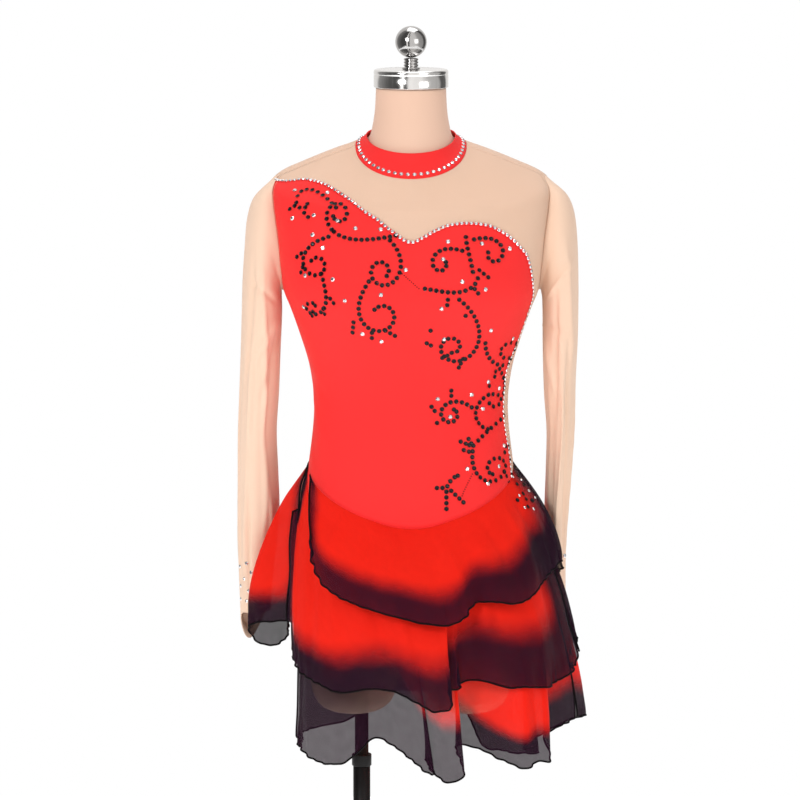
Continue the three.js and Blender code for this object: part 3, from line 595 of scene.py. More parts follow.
def new_material(name):
    """A material with its nodes, its shader and the place on the object that its patterns use."""
    material = bpy.data.materials.new(name)
    material.use_nodes = True
    tree = material.node_tree
    place = tree.nodes.new("ShaderNodeTexCoord").outputs["Object"]
    return material, tree, tree.nodes["Principled BSDF"], place


def add(tree, kind, values=None, **settings):
    """A node with its settings, and its inputs from numbers, colours or other nodes' outputs."""
    node = tree.nodes.new(kind)
    for key, value in settings.items():
        setattr(node, key, value)
    for key, value in (values or {}).items():
        if isinstance(value, bpy.types.NodeSocket):
            tree.links.new(value, node.inputs[key])
        else:
            node.inputs[key].default_value = value
    return node


def weave_coordinates(tree, scale):
    where = add(tree, "ShaderNodeUVMap", uv_map="cloth")
    return add(tree, "ShaderNodeMapping", {"Vector": where.outputs["UV"], "Scale": scale}).outputs["Vector"]


def noise(tree, where, scale, detail=3.0, roughness=0.55):
    values = {"Vector": where, "Scale": scale, "Detail": detail, "Roughness": roughness}
    return add(tree, "ShaderNodeTexNoise", values).outputs["Fac"]


def between(tree, value, low, high, to_low=0.0, to_high=1.0, kind="SMOOTHSTEP"):
    values = {"Value": value, "From Min": low, "From Max": high, "To Min": to_low, "To Max": to_high}
    return add(tree, "ShaderNodeMapRange", values, interpolation_type=kind).outputs["Result"]


def blend_colours(tree, share, first, second):
    node = add(tree, "ShaderNodeMix", data_type="RGBA")
    tree.links.new(share, node.inputs["Factor"])
    for socket, value in ((node.inputs[6], first), (node.inputs[7], second)):
        if isinstance(value, bpy.types.NodeSocket):
            tree.links.new(value, socket)
        else:
            socket.default_value = (*value, 1.0)
    return node.outputs[2]


def maths(tree, operation, first, second):
    node = add(tree, "ShaderNodeMath", operation=operation)
    for socket, value in zip(node.inputs, (first, second)):
        if isinstance(value, bpy.types.NodeSocket):
            tree.links.new(value, socket)
        else:
            socket.default_value = value
    return node.outputs[0]


def paint(tree, shader, share, first, second):
    tree.links.new(blend_colours(tree, share, first, second), shader.inputs["Base Color"])


def roughen(tree, shader, value, low, high, smooth_end, rough_end):
    """Roughness that follows a pattern from its low to its high values."""
    tree.links.new(between(tree, value, low, high, smooth_end, rough_end), shader.inputs["Roughness"])


def settings(shader, **values):
    """Sets the shader's own sockets, named with underscores for spaces."""
    for name, value in values.items():
        shader.inputs[name.replace("_", " ")].default_value = value


def bump(tree, shader, height, strength, distance):
    values = {"Height": height, "Strength": strength, "Distance": distance}
    node = add(tree, "ShaderNodeBump", values)
    tree.links.new(node.outputs["Normal"], shader.inputs["Normal"])


def knit(tree, columns_per_metre, courses_per_metre):
    """The height of a fine knit: columns of small stitches, as a number from 0 to 1."""
    where = weave_coordinates(tree, (columns_per_metre, courses_per_metre, 1.0))
    split = add(tree, "ShaderNodeSeparateXYZ", {"Vector": where})
    column = maths(tree, "SINE", maths(tree, "MULTIPLY", split.outputs["X"], 2 * PI), 0.0)
    shifted = maths(tree, "ADD", split.outputs["Y"], maths(tree, "ABSOLUTE", column, 0.0))
    course = maths(tree, "SINE", maths(tree, "MULTIPLY", shifted, 2 * PI), 0.0)
    both = maths(tree, "ADD", maths(tree, "MULTIPLY", column, 0.3), maths(tree, "MULTIPLY", course, 0.2))
    return maths(tree, "ADD", both, 0.5)


RED = (1.0, 0.034, 0.033)
RED_DEEP = (0.92, 0.024, 0.024)
NUDE = (1.0, 0.74, 0.57)
NUDE_DEEP = (0.95, 0.66, 0.48)
COVER = (0.84, 0.56, 0.42)
COVER_DEEP = (0.79, 0.51, 0.37)
CHIFFON_RED = (1.0, 0.024, 0.01)
CHIFFON_DEEP = (0.97, 0.018, 0.008)
CHIFFON_BLACK = (0.021, 0.004, 0.015)
SEQUIN_BLACK = (0.004, 0.003, 0.004)


def stretch_red():
    material, tree, shader, place = new_material("red_stretch_knit")
    broad = noise(tree, place, 9.0)
    stitches = knit(tree, 1150.0, 900.0)
    share = maths(tree, "ADD", maths(tree, "MULTIPLY", broad, 0.5), maths(tree, "MULTIPLY", stitches, 0.35))
    paint(tree, shader, share, RED_DEEP, RED)
    roughen(tree, shader, broad, 0.3, 0.7, 0.52, 0.64)
    settings(
        shader,
        Sheen_Weight=0.15,
        Sheen_Roughness=0.4,
        Sheen_Tint=(1.0, 0.4, 0.36, 1.0),
        Specular_IOR_Level=0.16,
    )
    bump(tree, shader, stitches, 0.35, 0.0004)
    return material


def nude_mesh(name, cover):
    """Fine power mesh. `cover` is how much of what lies behind one face of it is hidden."""
    material, tree, shader, place = new_material(name)
    broad = noise(tree, place, 7.0)
    stitches = knit(tree, 1400.0, 1250.0)
    paint(tree, shader, broad, NUDE_DEEP, NUDE)
    settings(shader, Roughness=0.7, Sheen_Weight=0.15, Specular_IOR_Level=0.25)
    open_share = between(tree, stitches, 0.15, 0.85, cover - 0.09, cover + 0.09, "LINEAR")
    tree.links.new(open_share, shader.inputs["Alpha"])
    bump(tree, shader, stitches, 0.3, 0.0003)
    return material


def chiffon():
    """Dyed chiffon: red, then black towards each hem and free edge, by the field named fade."""
    material, tree, shader, place = new_material("ombre_chiffon")
    fade = add(tree, "ShaderNodeAttribute", attribute_name="fade").outputs["Fac"]
    cloudy = noise(tree, place, 16.0, 4.0, 0.6)
    shifted = maths(tree, "ADD", fade, maths(tree, "MULTIPLY", maths(tree, "SUBTRACT", cloudy, 0.5), 0.5))
    dyed = between(tree, shifted, 0.0, 1.0)
    broad = noise(tree, place, 30.0, 2.0, 0.5)
    red = blend_colours(tree, broad, CHIFFON_DEEP, CHIFFON_RED)
    paint(tree, shader, dyed, CHIFFON_BLACK, red)
    where = weave_coordinates(tree, (1500.0, 1500.0, 1.0))
    split = add(tree, "ShaderNodeSeparateXYZ", {"Vector": where})
    warp = maths(tree, "SINE", maths(tree, "MULTIPLY", split.outputs["X"], 2 * PI), 0.0)
    weft = maths(tree, "SINE", maths(tree, "MULTIPLY", split.outputs["Y"], 2 * PI), 0.0)
    threads = maths(tree, "MULTIPLY", maths(tree, "ADD", warp, weft), 0.25)
    uneven = maths(tree, "MULTIPLY", noise(tree, where, 0.06, 2.0, 0.5), 0.08)
    cover = between(tree, dyed, 0.0, 1.0, 0.6, 0.66, "LINEAR")
    cover = maths(tree, "ADD", cover, maths(tree, "ADD", maths(tree, "MULTIPLY", threads, 0.12), uneven))
    tree.links.new(cover, shader.inputs["Alpha"])
    settings(shader, Roughness=0.7, Sheen_Weight=0.03, Specular_IOR_Level=0.06)
    bump(tree, shader, maths(tree, "ADD", threads, 0.5), 0.25, 0.0003)
    return material


def form_cover():
    material, tree, shader, place = new_material("form_jersey")
    broad = noise(tree, place, 6.0)
    fine = noise(tree, place, 900.0, 2.0, 0.6)
    paint(tree, shader, broad, COVER_DEEP, COVER)
    roughen(tree, shader, fine, 0.2, 0.8, 0.72, 0.86)
    settings(shader, Sheen_Weight=0.2)
    bump(tree, shader, fine, 0.2, 0.0003)
    return material


def brushed(name, light, dark, roughness, streaks):
    """Polished or brushed steel, with streaks round its axis or along it."""
    material, tree, shader, place = new_material(name)
    stretched = add(tree, "ShaderNodeMapping", {"Vector": place, "Scale": streaks}).outputs["Vector"]
    lines = noise(tree, stretched, 1.0, 5.0, 0.7)
    paint(tree, shader, lines, dark, light)
    settings(shader, Metallic=1.0)
    roughen(tree, shader, lines, 0.3, 0.7, roughness, roughness + 0.1)
    bump(tree, shader, lines, 0.12, 0.0002)
    return material


POWDER_DEEP, POWDER = (0.004, 0.003, 0.003), (0.007, 0.006, 0.006)
# Rhinestone foil: a silver colour, whose lighter end is a painted glint of facets and whose darker end is painted
# shade.
FOIL_AND_FACET_SHADE, FOIL_AND_FACET_GLINT = (0.55, 0.57, 0.62), (1.0, 1.0, 1.0)


def black_steel():
    material, tree, shader, place = new_material("black_powder_coat")
    speckle = noise(tree, place, 1400.0, 2.0, 0.6)
    broad = noise(tree, place, 12.0)
    paint(tree, shader, broad, POWDER_DEEP, POWDER)
    roughen(tree, shader, speckle, 0.3, 0.7, 0.38, 0.52)
    settings(shader, Specular_IOR_Level=0.25)
    bump(tree, shader, speckle, 0.15, 0.0003)
    return material


def thread(name, colour):
    material, tree, shader, place = new_material(name)
    twist = noise(tree, place, 2600.0, 2.0, 0.6)
    deep = tuple(0.7 * part for part in colour)
    paint(tree, shader, twist, deep, colour)
    settings(shader, Roughness=0.75, Specular_IOR_Level=0.12)
    bump(tree, shader, twist, 0.4, 0.0003)
    return material


def crystal(name):
    """Foil-backed glass: silver foil, with painted glints and painted shade over its facets by a noise, and a little
    colour in each.
    """
    material, tree, shader, place = new_material(name)
    spread = noise(tree, place, 420.0, 1.0, 0.5)
    # The foil's silver mixed with painted glints and painted shade on the facets, patchy by a noise.
    paint(tree, shader, spread, FOIL_AND_FACET_SHADE, FOIL_AND_FACET_GLINT)
    roughen(tree, shader, spread, 0.3, 0.7, 0.04, 0.16)
    settings(shader, Metallic=0.9, Coat_Weight=0.6)
    bump(tree, shader, noise(tree, place, 2400.0, 1.0, 0.5), 0.2, 0.0002)
    return material


def black_sequin():
    material, tree, shader, place = new_material("black_cup_sequin")
    spread = noise(tree, place, 300.0, 1.0, 0.5)
    glint = tuple(3.0 * part for part in SEQUIN_BLACK)
    paint(tree, shader, spread, SEQUIN_BLACK, glint)
    roughen(tree, shader, spread, 0.3, 0.7, 0.14, 0.3)
    settings(shader, Specular_IOR_Level=0.22)
    bump(tree, shader, noise(tree, place, 1800.0, 1.0, 0.5), 0.2, 0.0002)
    return material


red_knit = stretch_red()
body_mesh = nude_mesh("nude_power_mesh", 0.62)
sleeve_mesh = nude_mesh("nude_sleeve_mesh", 0.88)
sheer_chiffon = chiffon()
jersey = form_cover()
cap_steel = brushed("brushed_cap_steel", (0.93, 0.92, 0.91), (0.7, 0.69, 0.68), 0.1, (260.0, 260.0, 4.0))
ball_steel = brushed("polished_steel", (0.62, 0.61, 0.6), (0.42, 0.41, 0.41), 0.1, (60.0, 60.0, 60.0))
powder_coat = black_steel()
black_thread = thread("black_hem_thread", (0.004, 0.002, 0.003))
stone = crystal("clear_rhinestone")
sequin = black_sequin()
nude_thread = thread("nude_thread", (0.86, 0.6, 0.42))
red_thread = thread("red_thread", (0.8, 0.02, 0.02))

# The dress's close-fitting panels

CLOTH = 0.7  # the thickness of the stretch cloth and mesh
SHEER = 0.45  # the thickness of the chiffon

BODICE_CREASES = table(
    CREASE,
    [0.02, 0.33, 0.22, 0.27, 9, -1.0],
    [0.01, 0.25, 0.2, 0.14, 11, 1.2],
    [0.03, 0.13, 0.16, 0.05, 8, -0.9],
    [0.98, 0.36, 0.8, 0.29, 10, -1.0],
    [0.99, 0.24, 0.82, 0.16, 12, 1.3],
    [0.97, 0.12, 0.86, 0.04, 8, -0.8],
    [0.74, 0.03, 0.79, 0.2, 9, -1.1],
    [0.12, 0.86, 0.3, 0.72, 14, 0.8],
    [0.55, 0.62, 0.46, 0.85, 16, -1.0],
)


def bodice_front():
    edges = bodice_edges()
    columns = EDGE_STEPS["left"] + EDGE_STEPS["right"]
    top = edges[: columns + 1]
    right_side = edges[columns:][::-1]
    seam_left, seam_right = degrees(-90) + FRONT_STEP, edges[-1, 0]
    w = 1 - (1 - np.linspace(0, 1, EDGE_STEPS["side"] + 1)) ** 1.5
    u = (top[:, 0] - top[0, 0]) / (top[-1, 0] - top[0, 0])
    bottom = mix(seam_left, seam_right, u)
    left = np.maximum(scye_angle(mix(seam_height(seam_left), top[0, 1], w)), seam_left)
    right = np.interp(mix(seam_height(seam_right), top[-1, 1], w), right_side[:, 1], right_side[:, 0])
    w = w[:, None]
    angles = mix(bottom, top[:, 0], w)
    angles += (left[:, None] - mix(left[0], left[-1], w)) * (1 - u) ** 6
    angles += (right[:, None] - mix(right[0], right[-1], w)) * u**4
    places = np.stack([angles, mix(seam_height(bottom), top[:, 1], w)], -1)
    outer = creased(on_skin(places, WALL_OUTER), BODICE_CREASES)
    return shell("bodice_front_cloth", outer, red_knit, CLOTH), outer


UNDERLAP = 1.5  # how far the mesh runs on under the red


def yoke_front():
    inner = beside(bodice_edges(), -UNDERLAP)
    side = degrees(90) - FRONT_STEP
    strip = EDGE_STEPS["side"] - SCYE_STEPS + 2 * FINE
    shoulder_steps = 3 * FINE
    collar_steps = len(inner) - 1 - strip - SCYE_STEPS - shoulder_steps

    def level(angle, height):
        return np.stack(np.broadcast_arrays(angle, height), -1).astype(float)

    outer = stations(
        (lambda s: level(mix(-side, side, s), COLLAR_LOW), collar_steps),
        (lambda s: level(side, mix(COLLAR_LOW, ARMHOLE_TOP, s)), shoulder_steps),
        (lambda s: armhole(1, -s * PI), SCYE_STEPS),
        (lambda s: level(side, mix(ARMHOLE_BOTTOM, seam_height(side), s)), strip),
    )
    across = 6 * FINE
    share = (1 - (1 - np.arange(across + 1) / across) ** 1.35)[:, None, None]
    places = mix(inner[None], outer[None], share)
    rising = np.clip(share[..., 0] * 12, 0, 1)
    lift = mix(WALL_OUTER - CLOTH - 0.1, WALL_OUTER, rising)[..., None]
    return shell("yoke_front_cloth", on_skin(places, lift), body_mesh, CLOTH)


def back(side):
    seam = degrees(90) + FRONT_STEP
    middle = degrees(180) - 0.0015
    steps = 8 * FINE
    legs = (
        [(0, s) for s in np.linspace(0, 1, 7 * FINE)[:-1]]
        + [(1, s) for s in np.linspace(0, 1, SCYE_STEPS + 1)]
        + [(2, s) for s in np.linspace(0, 1, 5 * FINE)[1:]]
    )
    rows = []
    across = np.linspace(0, 1, steps + 1)
    for leg, s in legs:
        start, level = armhole(1, PI - s * PI) if leg == 1 else (seam, 0.0)
        angles = mix(max(seam, float(start)), middle, across)
        foot = seam_height(mix(seam, middle, across))
        heights = [mix(foot, ARMHOLE_BOTTOM, s), level, mix(ARMHOLE_TOP, COLLAR_LOW, s)][leg]
        row = np.stack([side * angles, np.broadcast_to(heights, angles.shape)], -1)
        rows.append(row if side > 0 else row[::-1])
    outer = on_skin(np.array(rows), WALL_OUTER)
    name = "back_left_cloth" if side < 0 else "back_right_cloth"
    return shell(name, outer, body_mesh, CLOTH)


COLLAR_DIP = 4.5  # how far the band's lower edge comes down at the front


def collar_band():
    end = degrees(180) - 0.004
    angles = np.linspace(-end, end, 181)
    heights = np.linspace(COLLAR_LOW, COLLAR_HIGH, 15)
    places = np.stack(np.meshgrid(angles, heights), -1)
    share = np.linspace(-1, 1, 15)[:, None]
    places[..., 1] -= COLLAR_DIP * np.maximum(0, np.cos(angles)) ** 1.5 * (1 - share) / 2
    lift = WALL_OUTER + 0.4 + 0.5 * (1 - share**4)[..., None]
    return shell("collar_band_cloth", on_skin(places, lift), red_knit, 1.3)


def boolean(obj, cutter, operation):
    """Cuts a solid by another, or joins them. The second one is used up."""
    modifier = obj.modifiers.new("cut", "BOOLEAN")
    modifier.operation = operation
    modifier.solver = "EXACT"
    modifier.object = cutter
    graph = bpy.context.evaluated_depsgraph_get()
    mesh = bpy.data.meshes.new_from_object(obj.evaluated_get(graph))
    obj.modifiers.clear()
    obj.data = mesh
    bpy.data.objects.remove(cutter)


def rings_object(name, rings, material, ends=None):
    """A closed solid from rings of points that run upwards, closed by two end points."""
    rings = np.asarray(rings)
    rows, columns = rings.shape[:2]
    ends = [rings[0].mean(0), rings[-1].mean(0)] if ends is None else ends
    points = [*rings.reshape(-1, 3), *ends]
    faces = []
    for r in range(rows - 1):
        for c in range(columns):
            d = (c + 1) % columns
            faces.append((r * columns + c, r * columns + d, (r + 1) * columns + d, (r + 1) * columns + c))
    for c in range(columns):
        d = (c + 1) % columns
        faces.append((d, c, rows * columns))
        faces.append(((rows - 1) * columns + c, (rows - 1) * columns + d, rows * columns + 1))
    return mesh_object(name, points, faces, material)


BRIEF_DROP = 1.6  # how far the brief's edge lies below the waist seam
# Heights of rings that round off the underside of the hips.
UNDER_HEIGHTS = [HIP_LOW - UNDERSIDE * math.sqrt(1 - s * s) for s in np.linspace(0.06, 0.97, 14)]
LEG_OPENING = {"x": 110, "y": 4, "z": 742, "wide": 95, "deep": 142, "high": 98}


def ellipsoid(name, centre, size, columns=72, rows=36):
    rings = []
    for r in range(1, rows):
        polar = PI * r / rows
        a = full_turn(columns)
        level = np.full(columns, -math.cos(polar))
        ring = np.stack([np.sin(polar) * np.sin(a), -np.sin(polar) * np.cos(a), level], -1)
        rings.append(ring * size + centre)
    return rings_object(name, rings, powder_coat)


def brief():
    columns = 120
    angles = full_turn(columns)
    low = HIP_LOW - UNDERSIDE
    rows = [np.full(columns, height) for height in UNDER_HEIGHTS]
    rows += [mix(HIP_LOW, seam_height(angles) - BRIEF_DROP, s) for s in np.linspace(0, 1, 30)]
    outer = np.array([above(angles, row, WALL_OUTER) for row in rows])
    inner = np.array([above(angles, row, WALL_OUTER - CLOTH) for row in rows])
    centre = RINGS["centre"][0]
    ends = [[0, centre, low - WALL_OUTER], [0, centre, low - WALL_OUTER + CLOTH]]
    obj = rings_object("brief_cloth", np.concatenate([outer, inner[::-1]]), red_knit, ends)
    for side in (-1, 1):
        size = [LEG_OPENING["wide"], LEG_OPENING["deep"], LEG_OPENING["high"]]
        leg = ellipsoid("leg", [side * LEG_OPENING["x"], LEG_OPENING["y"], LEG_OPENING["z"]], size)
        boolean(obj, leg, "DIFFERENCE")
    return obj


# Sleeves

SLEEVE_COLUMNS = ["innerX", "innerZ", "outerX", "outerZ", "y", "depth"]
SLEEVES = {
    "left": table(
        SLEEVE_COLUMNS,
        [168.6, 1226, 194, 1357, 0, 50],
        [169, 1224, 206, 1342, 0, 53],
        [169, 1221, 213, 1317, 1, 55],
        [169, 1216, 216, 1283, 2, 56],
        [168.8, 1207, 219, 1240, 4, 56],
        [169, 1188, 220.5, 1194, 7, 55],
        [171, 1148, 222, 1150, 11, 53],
        [173.5, 1090, 224.5, 1090, 18, 50],
        [177, 1035, 227, 1035, 28, 48],
        [175.5, 980, 228, 980, 40, 46],
        [174.5, 925, 228.5, 925, 51, 44],
        [180, 870, 228.5, 870, 61, 41],
        [185, 825, 227.5, 825, 66, 38],
        [187, 790, 226, 790, 68, 36],
    ),
    "right": table(
        SLEEVE_COLUMNS,
        [168.6, 1226, 195, 1358, 0, 50],
        [169.5, 1224, 206.5, 1344, 0, 53],
        [170, 1221, 213.5, 1322, 1, 55],
        [171, 1216, 217, 1287, 2, 56],
        [171.5, 1207, 218.5, 1240, 4, 56],
        [172, 1188, 218.7, 1194, 7, 55],
        [172.5, 1148, 218, 1150, 11, 54],
        [174.5, 1090, 215, 1090, 18, 53],
        [178.5, 1035, 212.5, 1035, 28, 52],
        [178, 980, 210, 980, 40, 50],
        [177, 925, 207.5, 925, 52, 48],
        [179, 870, 206, 870, 62, 45],
        [181, 825, 206, 825, 67, 43],
        [182, 790, 206, 790, 69, 41],
    ),
}
CUFF_POINT = {"drop": 46, "turn": degrees(62)}
CUFF_HEM_ROWS = 3
HEM_LIFT = 0.5  # how far the turned-up hem lies over the sleeve
SLEEVE_CLOTH = {"thick": 0.6, "hemThick": 0.4, "around": 96, "steps": 9}
# Widths run round a sleeve from its outer side towards the back, heights from cuff to shoulder.
SLEEVE_CREASES = {
    "left": table(
        CREASE,
        [0.56, 0.9, 0.78, 0.66, 3.6, -3.2],
        [0.55, 0.87, 0.72, 0.58, 3.6, 3],
        [0.6, 0.93, 0.88, 0.8, 4.3, 2.8],
        [0.42, 0.9, 0.24, 0.7, 4.3, -3],
        [0.4, 0.86, 0.3, 0.6, 3.6, 2.8],
        [0.93, 0.05, 0.9, 0.62, 4.5, 3.9],
        [0.86, 0.12, 0.84, 0.74, 5.2, -4.2],
        [0.79, 0, 0.8, 0.5, 3.9, 3.5],
        [0.72, 0.2, 0.74, 0.92, 5.8, -3.9],
        [0.66, 0.42, 0.62, 0.86, 5.2, 3.2],
        [0.88, 0.55, 0.82, 0.9, 5.8, 3.5],
        [0.6, 0.02, 0.64, 0.4, 5.2, -3.2],
        [0.1, 0.05, 0.14, 0.7, 5.8, -4.2],
        [0.2, 0.15, 0.18, 0.85, 5.2, 3.9],
        [0.3, 0.02, 0.33, 0.55, 5.8, -3.5],
        [0.4, 0.3, 0.36, 0.9, 5.2, 3.2],
    ),
    "right": table(
        CREASE,
        [0.57, 0.88, 0.8, 0.7, 3.6, -3],
        [0.56, 0.85, 0.7, 0.6, 4.3, 3.2],
        [0.6, 0.94, 0.9, 0.84, 4.3, 2.7],
        [0.43, 0.88, 0.26, 0.74, 4.3, 2.8],
        [0.41, 0.84, 0.32, 0.62, 3.6, -2.8],
        [0.9, 0.04, 0.93, 0.55, 4.5, 3.9],
        [0.83, 0.1, 0.85, 0.7, 5.2, -4.6],
        [0.76, 0.22, 0.74, 0.66, 3.9, 3.2],
        [0.7, 0, 0.68, 0.45, 5.2, -3.5],
        [0.88, 0.6, 0.8, 0.93, 5.8, 3.5],
        [0.68, 0.55, 0.72, 0.9, 5.8, -3.9],
        [0.62, 0.3, 0.6, 0.8, 5.2, 2.9],
        [0.12, 0.03, 0.1, 0.6, 5.8, -4.2],
        [0.22, 0.2, 0.24, 0.8, 5.2, 3.9],
        [0.33, 0.05, 0.3, 0.5, 5.8, -3.5],
        [0.42, 0.35, 0.38, 0.9, 5.2, 3.2],
    ),
}


def through(rings, steps):
    """A smooth run of rings through the given ones, with `steps` between each two."""
    rings = np.asarray(rings)
    last = len(rings) - 1
    low = np.concatenate([rings[:1], rings[:-1]])
    high = np.concatenate([rings[1:], rings[-1:]])
    slope = (high - low) / 2
    slope[[0, -1]] *= 2
    at = np.linspace(0, last, last * steps + 1)
    i = np.minimum(at.astype(int), last - 1)
    t = (at - i)[:, None, None]
    return (
        rings[i] * (2 * t**3 - 3 * t**2 + 1)
        + slope[i] * (t**3 - 2 * t**2 + t)
        + rings[i + 1] * (3 * t**2 - 2 * t**3)
        + slope[i + 1] * (t**3 - t**2)
    )


def sleeve(side):
    """A sleeve's cloth, its turned-up hem and its grid of points."""
    label = "left" if side < 0 else "right"
    rows = SLEEVES[label]
    columns = SLEEVE_CLOTH["around"]
    turns = side * full_turn(columns)
    head_places = armhole(side, side * turns, 0.3 + WALL)
    head = on_skin(head_places, WALL_OUTER + 0.2)
    rings = [head]
    for r in range(len(rows["y"])):
        row = {name: rows[name][r] for name in SLEEVE_COLUMNS}
        share = (1 + np.cos(turns)) / 2
        drop = 0.0
        if r == len(rows["y"]) - 1:
            drop = CUFF_POINT["drop"] * ((1 + np.cos(side * turns - CUFF_POINT["turn"])) / 2) ** 4
        x = side * mix(row["innerX"], row["outerX"], share)
        z = mix(row["innerZ"], row["outerZ"], share) - drop
        y = row["y"] + row["depth"] * np.sin(side * turns)
        rings.append(np.stack([x, y, z], -1))
    outer = through(rings, SLEEVE_CLOTH["steps"])[::-1]
    outer = creased(outer, SLEEVE_CREASES[label], closed=True)
    cloth = shell(f"sleeve_{label}_cloth", outer, sleeve_mesh, SLEEVE_CLOTH["thick"], closed=True)
    lifted = (outer + HEM_LIFT * normals_of(outer, closed=True))[:CUFF_HEM_ROWS]
    turned_up = shell(f"cuff_{label}_hem", lifted, sleeve_mesh, SLEEVE_CLOTH["hemThick"], closed=True)
    return cloth, turned_up, outer


# The skirt

